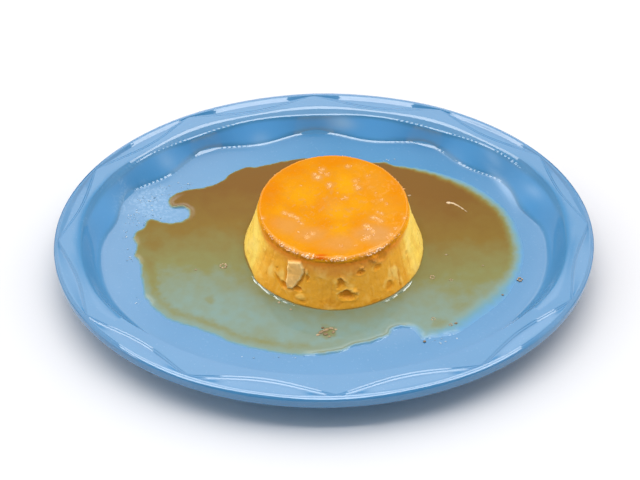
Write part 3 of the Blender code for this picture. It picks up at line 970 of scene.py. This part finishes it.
caramelColours = {
    "orange": (0.585, 0.208, 0.001),
    "amberOrange": (0.595, 0.228, 0.004),
    "golden": (0.64, 0.275, 0.003),
    "deep": (0.57, 0.172, 0.000),
    "milky": (0.52, 0.235, 0.060),
    "streak": (0.50, 0.205, 0.022),
    "froth": (0.70, 0.36, 0.12),
    "outside": (0.98, 0.40, 0.010),
    "film": (0.58, 0.19, 0.012),
    "burnt": (0.55, 0.095, 0.002),
}


def makeCaramelOrange():
    look = caramelColours
    made, tree, shader = startMaterial("caramelOrange", 0.35, **{"Specular IOR Level": 0.02})
    colour = tint(tree, mottle(tree, 80.0, 0.3, 0.7), look["orange"], look["amberOrange"])
    colour = layered(tree, colour, look, ("golden", "deep", "milky"))
    colour = tint(tree, times(tree, mottle(tree, 260.0, 0.45, 0.7, 1.0), 0.25), colour, look["streak"])
    colour = layered(tree, colour, look, ("outside", "film"))
    colour = tint(tree, times(tree, mottle(tree, 1100.0, 0.66, 0.74, 1.0), 0.18), colour, look["froth"])
    colour = layered(tree, colour, look, ("froth", "burnt"))
    tree.links.new(colour, shader.inputs["Base Color"])
    tree.links.new(mapped(tree, mottle(tree, 200.0), 0.25, 0.45), shader.inputs["Roughness"])
    skinGrain(tree, shader, 1500.0, 0.2, 0.0003, 0.5, 0.15)
    return made


buildCustard(makeCustardYellow())
capRim = buildCaramelTop(makeCaramelOrange())
print("flan made")


sauceLook = {
    "cell": 0.5 * mm,
    "depth": 0.35 * mm,
    "roll": 0.5 * mm,
    "skirt": 0.25 * mm,
    "meniscus": 0.5 * mm,
    "reachUnderFlan": 1.6,
    "roughness": 0.08,
}

# The puddle's uneven outline in millimetres, anticlockwise from the right.
puddleOutline = [
    (96.8, -1.5), (96, 6.5), (94.3, 16.6), (90.2, 27.8), (83.4, 37), (75.7, 45), (66.8, 51), (57, 56),
    (47.1, 59.4), (37.1, 61.6), (32.2, 64.2), (24.2, 64.2), (12.2, 67.6), (-2.8, 68.4), (-12.9, 67.4),
    (-23, 64.9), (-31.1, 62.7), (-38.2, 61.9), (-45.4, 57.1), (-50.6, 51.3), (-58.7, 48), (-66.8, 46.7),
    (-72.9, 43.4), (-76, 39), (-75.2, 34.4), (-72.2, 33), (-68.2, 33.2), (-65.8, 30.7), (-66.4, 26.7),
    (-69.5, 23.8), (-74.5, 22.9), (-79.5, 24.1), (-83.5, 26.2), (-86.5, 24.8), (-87.7, 20.3), (-91.8, 16.9),
    (-92.9, 12.4), (-91.6, 8.4), (-91.2, 4.4), (-92.1, 0.4), (-89.9, -3.7), (-89.1, -7.7), (-88.7, -13.8),
    (-87.5, -20.8), (-87.1, -26.9), (-84.3, -32), (-80.5, -38.1), (-73.6, -44.4), (-63.7, -48.7),
    (-53.9, -54), (-44, -60.3), (-32.1, -64.7), (-20.2, -67.6), (-7.2, -69), (5.9, -66.9), (12.1, -63.6),
    (20.1, -61.6), (28.3, -57.6), (31.5, -53.2), (38.0, -52.4), (41.5, -55.5), (44.0, -60.0), (50.0, -59.0),
    (56.4, -58), (62.5, -55.7), (68.6, -50.8), (75.9, -44), (83.1, -37.2), (88.4, -29.4), (91.6, -22.5),
    (94.3, -15.5), (96.4, -7.5),
]
# Where the rim of the syrup stands up: place and reach in millimetres.
rolledRims = [(-70, 34.5, 5), (21, -61, 6), (34, -52, 6), (0, -68, 7), (13, -63, 4), (47, -60, 4)]
rolledRims += [(-94, 10, 3), (-92, -3, 3), (-86, -31, 3), (58, -57, 3), (-70, 32, 5)]
# Spots of darker syrup, or clearer where the amount is negative: place, reach, amount.
syrupSpots = [(-55.6, -30.6, 3, 0.10), (0, -54, 5, 0.18), (-82, 8, 6, 0.08), (53, -50, 5, 0.10)]
syrupSpots += [(64, -40, 6, 0.06), (-30, -54, 7, 0.05), (79, 26, 7, -0.05)]


def smoothLoop(points, perSpan):
    # a closed curve through the points
    points = np.array(points, float)
    loop = []
    for i in range(len(points)):
        a, b, c, d = (points[(i + k - 1) % len(points)] for k in range(4))
        for k in range(perSpan):
            t = k / perSpan
            bend = (2 * a - 5 * b + 4 * c - d) * t**2
            loop.append(0.5 * (2 * b + (c - a) * t + bend + (3 * b - a - 3 * c + d) * t**3))
    return np.array(loop)


def syrupGrid():
    # a grid over the puddle, with how far each point is inside its outline and off the flan's foot
    low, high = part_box("caramel_sauce")
    xs = np.arange(low.x - 2 * mm, high.x + 2 * mm, sauceLook["cell"])
    ys = np.arange(low.y - 2 * mm, high.y + 2 * mm, sauceLook["cell"])
    x, y = np.meshgrid(xs / mm, ys / mm, indexing="ij")
    place = np.stack([x * mm, y * mm, 0 * x], axis=-1)
    edgeNoise = noiseAt(place, 3.5 * mm, 3, 12.0)
    fromFlan = np.hypot(x - flanMiddle.x / mm, y - flanMiddle.y / mm)
    angle = np.arctan2(y - flanMiddle.y / mm, x - flanMiddle.x / mm)
    return SimpleNamespace(
        x=x, y=y, angle=angle, edgeNoise=edgeNoise,
        cloud=noiseAt(place, 22 * mm, 3, 5.0),
        inside=distanceInside(x, y, smoothLoop(puddleOutline, 5)) + 0.35 * edgeNoise,
        outOfFoot=fromFlan - (flanLook["baseRadius"] + unevenness(angle, 0)) / mm,
        thinning=smooth(36, 60, x) * smooth(-20, -36, y),
    )


def syrupHeight(form):
    look = sauceLook
    height = floorHeight + look["depth"] * smooth(-0.1, mix(1.1, 7.0, form.thinning), form.inside)
    height -= look["skirt"] * smooth(0.4, -1.2, form.inside)
    # it climbs the flan's foot, most of all in front
    degrees = np.degrees(form.angle)
    climbing = smooth(-170, -150, degrees) * smooth(-20, -40, degrees)
    climb = look["meniscus"] * mix(0.5, 1.0, climbing)
    climb = climb * np.exp(-np.maximum(form.outOfFoot, 0) / mix(0.9, 0.7, climbing))
    height += climb * smooth(-0.3, 0.6, form.inside)
    # its rim stands up where it has drawn together
    for atX, atY, reach in rolledRims:
        lump = look["roll"] * bump(np.hypot(form.x - atX, form.y - atY), 0, reach)
        height += lump * bump(form.inside, 1.0, 0.7)
    return height


def syrupShown(form):
    # how deep the syrup looks: brown at the back, clearing to the plate's colour in front
    x, y, edgeNoise = form.x, form.y, form.edgeNoise
    across = 12 * smooth(25, 62, x) + 6 * smooth(-5, -40, y) * smooth(20, 60, x)
    tilted = y + across + 5 * form.cloud
    shown = 0.285 + 0.0098 * 8 * np.logaddexp(0, (tilted + 24) / 8)
    shown += 0.10 * smooth(14, 0, form.outOfFoot) * smooth(-5, -25, y)
    shown += 0.02 * edgeNoise
    shown += 0.13 * (bump(form.inside, 5.5 + 1.5 * edgeNoise, 2.4) * smooth(4, -8, y) * smooth(20, -30, x))
    fadeWidth = mix(1.8, 8.5, smooth(20, 78, x)) + 4.0 * form.thinning
    shown *= smooth(-0.3, fadeWidth, form.inside + 0.3 * edgeNoise)
    # painted shade where the syrup meets the flan's foot
    shown = np.maximum(shown, 0.8 * bump(form.outOfFoot, -0.2, 0.7))
    for atX, atY, reach, amount in syrupSpots:
        shown += amount * smooth(1.2, 0.3, np.hypot(x - atX, y - atY) / reach + 0.5 * edgeNoise)
    return shown


def syrupGloss(form):
    # the rims that stand up shine
    gloss = 0 * form.x
    for atX, atY, reach in rolledRims:
        near = smooth(2.0, 1.0, np.hypot(form.x - atX, form.y - atY) / reach)
        gloss = np.maximum(gloss, near * smooth(4.0, 2.5, form.inside))
    return gloss


def buildSauce(finish):
    form = syrupGrid()
    keep = (form.inside > -2.0) & (form.outOfFoot > -sauceLook["reachUnderFlan"])
    corners = ((0, 0), (1, 0), (1, 1), (0, 1))
    cells = keep[:-1, :-1] & keep[1:, :-1] & keep[1:, 1:] & keep[:-1, 1:]
    used = np.zeros(keep.shape, bool)
    for di, dj in corners:
        used[di : di + cells.shape[0], dj : dj + cells.shape[1]] |= cells
    number = -np.ones(keep.shape, int)
    number[used] = np.arange(used.sum())
    at = np.argwhere(cells)
    faces = np.stack([number[at[:, 0] + di, at[:, 1] + dj] for di, dj in corners], axis=-1)
    points = np.stack([form.x * mm, form.y * mm, syrupHeight(form)], axis=-1)[used]
    mesh = smoothMesh("syrupPuddle", points.tolist(), faces.tolist())
    for title, mask in (("shown", syrupShown(form)), ("gloss", syrupGloss(form))):
        setMask(mesh, title, np.clip(mask[used], 0, 1))
    return addPiece("syrupPuddle", mesh, finish, ("caramel_sauce",))


# The syrup draws up into a glossy bead just off the flan's foot: where it starts and ends, in degrees.
beadArcs = [(-158, -110), (-68, -30)]
# Its profile, in millimetres off the foot and above the syrup.
beadProfile = [(2.2, -0.1), (1.75, 0.0), (1.7, 0.03), (1.1, 0.40), (1.0, 0.42), (0.5, 0.36), (-0.8, 0.4)]


def buildBeads(finish):
    points, faces = [], []
    for start, end in beadArcs:
        degrees = np.arange(start, end + 0.1, 0.5)
        angle = np.radians(degrees)
        ripple = (0.15 * np.sin(angle * 31) + 0.1 * np.sin(angle * 53)) * mm
        foot = flanLook["baseRadius"] + unevenness(angle, 0) + ripple
        # both ends sink into the puddle
        sunk = 0.7 - 0.7 * smooth(start, start + 9, degrees) * smooth(end, end - 9, degrees)
        lean = mix(1.08, 0.8, smooth(0.73, 0.93, np.abs(np.sin(angle))))
        count, first = len(degrees), len(points)
        for off, rise in beadProfile:
            x = flanMiddle.x + (foot + off * mm) * np.cos(angle)
            y = flanMiddle.y + (foot + off * mm) * np.sin(angle)
            height = floorHeight + sauceLook["depth"] + (lean * rise - sunk) * mm
            points += np.stack([x, y, height], axis=-1).tolist()
        for ring in range(len(beadProfile) - 1):
            for at in range(first + ring * count, first + (ring + 1) * count - 1):
                faces.append((at, at + 1, at + count + 1, at + count))
    mesh = smoothMesh("syrupBeads", points, faces)
    mesh.set_sharp_from_angle(angle=math.radians(9))
    setMask(mesh, "shown", np.full(len(points), 0.36))
    setMask(mesh, "gloss", np.ones(len(points)))
    return addPiece("syrupBeads", mesh, finish)


# The syrup's colour from bare plate to deepest.
syrupColours = [
    (0.00, (0.120, 0.290, 0.500)),
    (0.15, (0.138, 0.285, 0.345)),
    (0.30, (0.185, 0.268, 0.225)),
    (0.50, (0.195, 0.190, 0.062)),
    (0.75, (0.190, 0.112, 0.011)),
    (1.00, (0.165, 0.072, 0.003)),
]


def makeSyrup():
    made, tree, shader = startMaterial("syrup", sauceLook["roughness"], **{"Specular IOR Level": 0.13})
    wander = addNode(tree, "Math", {"operation": "MULTIPLY_ADD", "use_clamp": True}, {
        0: mottle(tree, 150.0, 0.3, 0.7),
        1: 0.05,
        2: maskOf(tree, "shown"),
    }).outputs["Value"]
    ramp = addNode(tree, "ValToRGB", None, {"Fac": wander})
    stops = ramp.color_ramp.elements
    for place, colour in syrupColours[1:-1]:
        stops.new(place)
    for stop, (place, colour) in zip(stops, syrupColours):
        stop.position = place
        stop.color = (*colour, 1.0)
    tree.links.new(ramp.outputs["Color"], shader.inputs["Base Color"])
    tree.links.new(maskOf(tree, "gloss"), shader.inputs["Coat Weight"])
    tree.links.new(mapped(tree, mottle(tree, 90.0), 0.07, 0.14), shader.inputs["Roughness"])
    skinGrain(tree, shader, 400.0, 0.05, 0.0002, 0.7)
    return made


syrupFinish = makeSyrup()
buildSauce(syrupFinish)
buildBeads(syrupFinish)
print("sauce made")


def ballShape(rings=6, segments=10):
    # points and faces of a ball of radius 1
    points = [(0, 0, -1)]
    for i in range(1, rings):
        up = math.pi * i / rings - math.pi / 2
        for j in range(segments):
            turn = fullTurn * j / segments
            points.append((math.cos(up) * math.cos(turn), math.cos(up) * math.sin(turn), math.sin(up)))
    points.append((0, 0, 1))
    faces = []
    for j in range(segments):
        k = (j + 1) % segments
        faces.append((0, 1 + k, 1 + j))
        for i in range(rings - 2):
            low, high = 1 + i * segments, 1 + (i + 1) * segments
            faces.append((low + j, low + k, high + k, high + j))
        last = 1 + (rings - 2) * segments
        faces.append((last + j, last + k, len(points) - 1))
    return np.array(points, float), faces


def lumps(name, rows, finish, uneven):
    # many balls as one mesh, one for each row of place, size, turn about the vertical and shade
    unit, unitFaces = ballShape()
    points, faces = [], []
    for i, (place, size, turn, shade) in enumerate(rows):
        shape = unit * (1 + uneven * noiseAt(unit, 0.9, 2, 3.3 * i + 1)[:, None]) * size
        c, s = math.cos(turn), math.sin(turn)
        x, y = c * shape[:, 0] - s * shape[:, 1], s * shape[:, 0] + c * shape[:, 1]
        points.append(np.stack([x, y, shape[:, 2]], axis=-1) + place)
        faces += [[k + i * len(unit) for k in face] for face in unitFaces]
    mesh = smoothMesh(name, np.concatenate(points).tolist(), faces)
    setMask(mesh, "shade", np.repeat([row[3] for row in rows], len(unit)))
    return addPiece(name, mesh, finish)


def shadedMaterial(name, dark, light, roughness, coat):
    made, tree, shader = startMaterial(name, roughness, **{"Coat Weight": coat, "Coat Roughness": 0.04})
    tree.links.new(tint(tree, maskOf(tree, "shade"), dark, light), shader.inputs["Base Color"])
    return made


# Froth along the rim: middle and reach in degrees, how many bubbles, largest radius in millimetres.
rimFroth = [(-141, 9, 34, 0.36), (-127, 9, 52, 0.50), (-112, 5, 44, 0.55), (-88, 6, 46, 0.50)]
rimFroth += [(-75, 8, 18, 0.34), (-59, 9, 60, 0.50), (-43, 9, 26, 0.36), (-101, 5, 12, 0.36)]
rimFroth += [(-100, 70, 70, 0.28), (90, 130, 60, 0.25)]


def buildFroth(rim):
    # small bubbles along the rim of the cap, and in the specks on its top
    draw = np.random.default_rng(11)
    rows = []
    for middle, reach, count, largest in rimFroth:
        for _ in range(count):
            angle = math.radians(middle + reach * draw.uniform(-1, 1))
            ring = int(round(angle / fullTurn * len(flanAngle))) % len(flanAngle)
            size = largest * draw.uniform(0.45, 1.0) ** 1.3 * mm
            over = math.radians(draw.uniform(10, 90))
            inward = max(draw.normal(0.0, 0.8), -0.2) * mm
            radius = rim.edge[ring] - rim.roundness[ring] * (1 - math.cos(over)) - inward
            height = rim.start + (rim.top - rim.start) * math.sin(over) - 0.2 * size
            x, y = flanMiddle.x + radius * math.cos(angle), flanMiddle.y + radius * math.sin(angle)
            rows.append(((x, y, height), (size, size, 0.8 * size), 0.0, draw.uniform(0.2, 1.0)))
    for atX, atY, size, strength in topSpecks:
        for _ in range(3 + int(5 * strength * size)):
            x, y = (at * mm + 0.55 * size * mm * draw.normal() for at in (atX, atY))
            ball = draw.uniform(0.14, 0.36) * mm
            share = min(math.hypot(x, y) / flanLook["topRadius"], 1.0)
            height = rim.top - flanLook["dish"] * float(smooth(1.0, 0.55, share)) + 0.05 * mm
            place = (flanMiddle.x + x, flanMiddle.y + y, height)
            rows.append((place, (ball, ball, 0.6 * ball), 0.0, strength * draw.uniform(0.1, 0.9)))
    finish = shadedMaterial("froth", (0.72, 0.30, 0.05), (0.95, 0.66, 0.40), 0.3, 0.3)
    lumps("frothBubbles", rows, finish, 0.15)


buildFroth(capRim)
print("froth made")

# Crumbs of custard on the syrup: place, half sizes, turn in degrees, shade (0 brown, 1 pale).
crumbs = [
    (-0.8, -52.8, 1.6, 1.0, 0.6, 20, 0.35), (1.6, -51.9, 1.3, 0.8, 0.6, -10, 0.5),
    (-3.0, -53.9, 1.5, 1.0, 0.5, 35, 0.2), (-1.0, -55.4, 1.2, 0.9, 0.5, 0, 0.1),
    (2.6, -54.1, 1.0, 0.7, 0.5, 60, 0.25), (-4.6, -55.8, 1.0, 0.6, 0.4, 30, 0.6),
    (0.6, -57.0, 0.9, 0.5, 0.4, 10, 0.4), (3.9, -52.6, 0.8, 0.5, 0.4, 0, 0.7),
    (-2.3, -51.3, 0.8, 0.6, 0.4, 0, 0.0), (62.6, 32.6, 1.3, 0.8, 0.4, -5, 1.0),
    (64.4, 32.1, 1.4, 0.6, 0.4, -22, 1.0), (66.1, 31.1, 1.4, 0.5, 0.4, -36, 1.0),
    (67.7, 29.7, 1.3, 0.4, 0.3, -44, 0.9), (69.1, 28.2, 1.3, 0.35, 0.3, -48, 0.8),
    (70.6, 26.4, 1.2, 0.3, 0.3, -52, 0.6), (58.9, -4.0, 0.7, 0.5, 0.3, 0, 0.4),
    (45.0, -61.5, 0.7, 0.6, 0.4, 0, 0.1), (60.5, -50.2, 0.8, 0.6, 0.4, 20, 0.1),
    (-22.5, -33.8, 0.7, 0.5, 0.3, 0, 0.5), (-17.0, -38.6, 0.6, 0.5, 0.3, 0, 0.6),
    (76.0, -12.0, 0.6, 0.4, 0.3, 0, 0.4), (-62.0, -10.5, 0.6, 0.5, 0.3, 0, 0.3),
    (43.5, 38.5, 1.0, 0.5, 0.3, 15, 0.6), (84.0, -32.0, 0.6, 0.5, 0.3, 0, 0.2),
]
# Crumbs and bubbles that make a small ring: place, radius of the ring, how many beads, shade.
ringCrumbs = [(-48.8, -8.3, 1.4, 7, 0.85), (93.1, -21.9, 1.1, 6, 0.7), (51.3, -19.2, 1.0, 7, 0.9)]
ringCrumbs += [(60.2, -21.4, 0.7, 6, 0.8), (50.0, -47.0, 0.8, 6, 0.9), (58.0, -51.0, 0.7, 6, 0.6)]


def buildCrumbs():
    draw = np.random.default_rng(23)
    level = floorHeight + sauceLook["depth"]
    rows = []
    for x, y, long, wide, tall, turn, shade in crumbs:
        rows.append(((x * mm, y * mm, level), (long * mm, wide * mm, tall * mm), math.radians(turn), shade))
    for x, y, radius, count, shade in ringCrumbs:
        for k in range(count):
            angle = fullTurn * (k + draw.uniform(-0.2, 0.2)) / count
            place = ((x + radius * math.cos(angle)) * mm, (y + radius * math.sin(angle)) * mm, level)
            bead = radius * draw.uniform(0.3, 0.5) * mm
            rows.append((place, (bead, bead, 0.8 * bead), angle, shade * draw.uniform(0.5, 1.0)))
    finish = shadedMaterial("crumb", (0.15, 0.085, 0.025), (0.62, 0.45, 0.26), 0.35, 0.5)
    lumps("custardCrumbs", rows, finish, 0.35)


# Sprays of droplets on the plate beside the puddle: place and spread in millimetres, how many.
sprays = [(-91, 27, 7, 5, 46), (-84, 40, 7, 5, 40), (-79, 49, 3, 1.5, 12), (-67, 50, 4, 1.5, 14)]
sprays += [(-96, 15, 2, 4, 12), (-94.5, -1, 1.5, 5, 8), (-90, -31, 2, 3, 6), (34.3, 65.5, 3, 1, 6)]
sprays += [(52, -61, 8, 2.5, 10), (-30, -69, 22, 2, 10)]


def buildDrops():
    draw = np.random.default_rng(5)
    rows = []
    for atX, atY, spreadX, spreadY, count in sprays:
        for _ in range(count):
            x, y = atX + spreadX * draw.normal() * 0.6, atY + spreadY * draw.normal() * 0.6
            size = draw.uniform(0.2, 0.62) ** 1.2 * mm
            shape = (size, size * draw.uniform(0.7, 1.0), 0.55 * size)
            rows.append(((x * mm, y * mm, floorHeight + 0.02 * mm), shape, 0.0, draw.uniform(0, 1) ** 2))
    finish = shadedMaterial("syrupDrop", (0.11, 0.25, 0.40), (0.50, 0.60, 0.68), 0.08, 1.0)
    lumps("syrupDrops", rows, finish, 0.1)


buildCrumbs()
buildDrops()
print("crumbs and drops made")


stageLook = {
    "table": 3.0,
    "tableGrey": (0.845, 0.815, 0.81, 1.0),
    "cameraElevation": math.radians(44),
    "cameraTurn": math.radians(-1.8),
    "cameraDistance": 1.26,
    "lens": 147.0,
    "sensor": 36.0,
    "aimAside": (-1.98 * mm, 0.53 * mm),  # the object sits a little right of the picture's middle
    "air": 0.50,
    "frontDim": 0.8,
    "airTint": (0.76, 0.97, 1.26, 1.0),
    "lampTint": (1.0, 0.99, 0.975, 1.0),
    "stripPower": 18.0,
    "stripSize": (4.0, 0.20),
    "stripPlace": (-0.2, -0.10, 2.2),
    "fillSize": 1.4,
    "lowTint": (0.35, 0.75, 1.1),
    "glintSize": 0.9,
    "glintPower": 22.0,
}
# Soft fills: name, place, power and what they reach.
fills = [
    ("frontFill", (0.0, -1.4, 1.9), 22.0, "all"),
    ("leftFill", (-2.0, -0.3, 0.7), 10.0, "flan"),
    ("rightFill", (2.0, -0.3, 0.7), 10.0, "flan"),
    ("lowLeftFill", (-1.45, -0.6, 0.36), 8.0, "table"),
    ("lowRightFill", (1.5, -0.5, 0.36), 4.0, "table"),
]
# Lamps at the sides that only the bead round the flan's foot mirrors.
glints = [("leftGlint", (-1.28, 0.52, 1.16)), ("rightGlint", (1.28, 0.52, 1.16))]
# Panels of light in the sky: brightness, and the soft edges that cut each out, from dark to lit along an axis
# of the sky (aside counts both ways from the middle).
dimEdges = [("Y", 0.15, -0.25), ("Z", 0.98, 0.85)]
backEdges = [("Y", 0.2, 0.5), ("Z", 0.28, 0.50), ("Z", 0.79, 0.745)]
skyPanels = [
    (0.80, [*backEdges, ("aside", 0.75, 0.55)]),
    (1.1, [*backEdges, ("aside", 0.22, 0.0)]),
    (2.0, [("Y", 0.0, 0.15), ("Z", 0.75, 0.82)]),
    (1.2, [("aside", 0.5, 0.75), ("Z", 0.85, 0.6), ("Y", -0.5, -0.1)]),
]


def joined(tree, operation, first, *others):
    for other in others:
        first = addNode(tree, "Math", {"operation": operation}, {0: first, 1: other}).outputs["Value"]
    return first


def skyEdge(tree, value, dark, lit):
    # 0 at dark and 1 at lit; the range itself must rise, so a falling edge swaps its ends
    rises = dark < lit
    return addNode(tree, "MapRange", {"interpolation_type": "SMOOTHSTEP"}, {
        "Value": value,
        "From Min": min(dark, lit),
        "From Max": max(dark, lit),
        "To Min": 0.0 if rises else 1.0,
        "To Max": 1.0 if rises else 0.0,
    }).outputs["Result"]


def buildTable():
    half = stageLook["table"] / 2
    corners = [(x, y, plateLow.z) for x, y in ((-half, -half), (half, -half), (half, half), (-half, half))]
    mesh = smoothMesh("tableTop", corners, [(0, 1, 2, 3)])
    table = bpy.data.objects.new("tableTop", mesh)
    bpy.context.scene.collection.objects.link(table)
    made, tree, shader = startMaterial("tableWhite", 0.9, **{"Specular IOR Level": 0.0})
    shader.inputs["Base Color"].default_value = stageLook["tableGrey"]
    mesh.materials.append(made)
    return table


def buildSky():
    look = stageLook
    world = bpy.data.worlds.new("lightTent")
    bpy.context.scene.world = world
    world.use_nodes = True
    tree = world.node_tree
    place = addNode(tree, "TexCoord")
    parts = addNode(tree, "SeparateXYZ", None, {"Vector": place.outputs["Generated"]}).outputs
    axes = {"Y": parts["Y"], "Z": parts["Z"]}
    axes["aside"] = addNode(tree, "Math", {"operation": "ABSOLUTE"}, {0: parts["X"]}).outputs["Value"]

    def panel(power, edges):
        return joined(tree, "MULTIPLY", power, *(skyEdge(tree, axes[axis], *ends) for axis, *ends in edges))

    lit = joined(tree, "ADD", *(panel(power, edges) for power, edges in skyPanels))
    dimmed = panel(-look["frontDim"] * look["air"], dimEdges)
    # the open air is bluer than the lamps that shine through it
    colour = addNode(tree, "Mix", {"data_type": "RGBA"})
    tree.links.new(skyEdge(tree, lit, 0.0, 0.8), colour.inputs[0])
    colour.inputs[6].default_value = look["airTint"]
    colour.inputs[7].default_value = look["lampTint"]
    shade = tree.nodes["Background"]
    tree.links.new(colour.outputs[2], shade.inputs["Color"])
    tree.links.new(joined(tree, "ADD", dimmed, lit, look["air"]), shade.inputs["Strength"])


def aimedLamp(name, place, size, power, pieces):
    # a square lamp that faces the middle of the plate and lights only these pieces
    lamp = bpy.data.lights.new(name, "AREA")
    lamp.size = size
    lamp.energy = power
    holder = bpy.data.objects.new(name, lamp)
    holder.location = place
    holder.rotation_euler = (-Vector(place)).to_track_quat("-Z", "Y").to_euler()
    bpy.context.scene.collection.objects.link(holder)
    reach = bpy.data.collections.new(name + "Reach")
    for piece in pieces:
        reach.objects.link(piece)
    holder.light_linking.receiver_collection = reach
    return holder


def buildLamps(table):
    look = stageLook
    strip = bpy.data.lights.new("overheadStrip", "AREA")
    strip.shape = "RECTANGLE"
    strip.size, strip.size_y = look["stripSize"]
    strip.energy = look["stripPower"]
    overhead = bpy.data.objects.new("overheadStrip", strip)
    overhead.location = look["stripPlace"]
    bpy.context.scene.collection.objects.link(overhead)

    dishAndFlan = [piece for piece in bpy.context.scene.objects if piece.type == "MESH" and piece != table]
    flanOnly = [piece for piece in dishAndFlan if piece.name in ("custardBody", "caramelCap")]
    reached = {"all": dishAndFlan, "flan": flanOnly, "table": [table]}
    for name, place, power, target in fills:
        fill = aimedLamp(name, place, look["fillSize"], power, reached[target])
        fill.visible_glossy = False
        if target == "table":
            fill.data.color = look["lowTint"]
    beads = [bpy.data.objects["syrupBeads"]]
    for name, place in glints:
        glint = aimedLamp(name, place, look["glintSize"], look["glintPower"], beads)
        glint.visible_diffuse = False


def buildCamera():
    look = stageLook
    camera = bpy.data.cameras.new("camera")
    camera.lens = look["lens"]
    camera.sensor_width = look["sensor"]
    view = bpy.data.objects.new("camera", camera)
    turn, rise = look["cameraTurn"], look["cameraElevation"]
    toward = Vector((-math.sin(turn) * math.cos(rise), math.cos(turn) * math.cos(rise), -math.sin(rise)))
    across = Vector((math.cos(turn), math.sin(turn), 0))
    aside, above = look["aimAside"]
    aim = Vector((plateMiddle.x, plateMiddle.y, edgeLine)) + across * aside + across.cross(toward) * above
    view.location = aim - toward * look["cameraDistance"]
    view.rotation_euler = toward.to_track_quat("-Z", "Y").to_euler()
    bpy.context.scene.collection.objects.link(view)
    bpy.context.scene.camera = view
    bpy.context.scene.view_settings.view_transform = "Standard"


table = buildTable()
buildSky()
buildLamps(table)
buildCamera()
print("stage made")
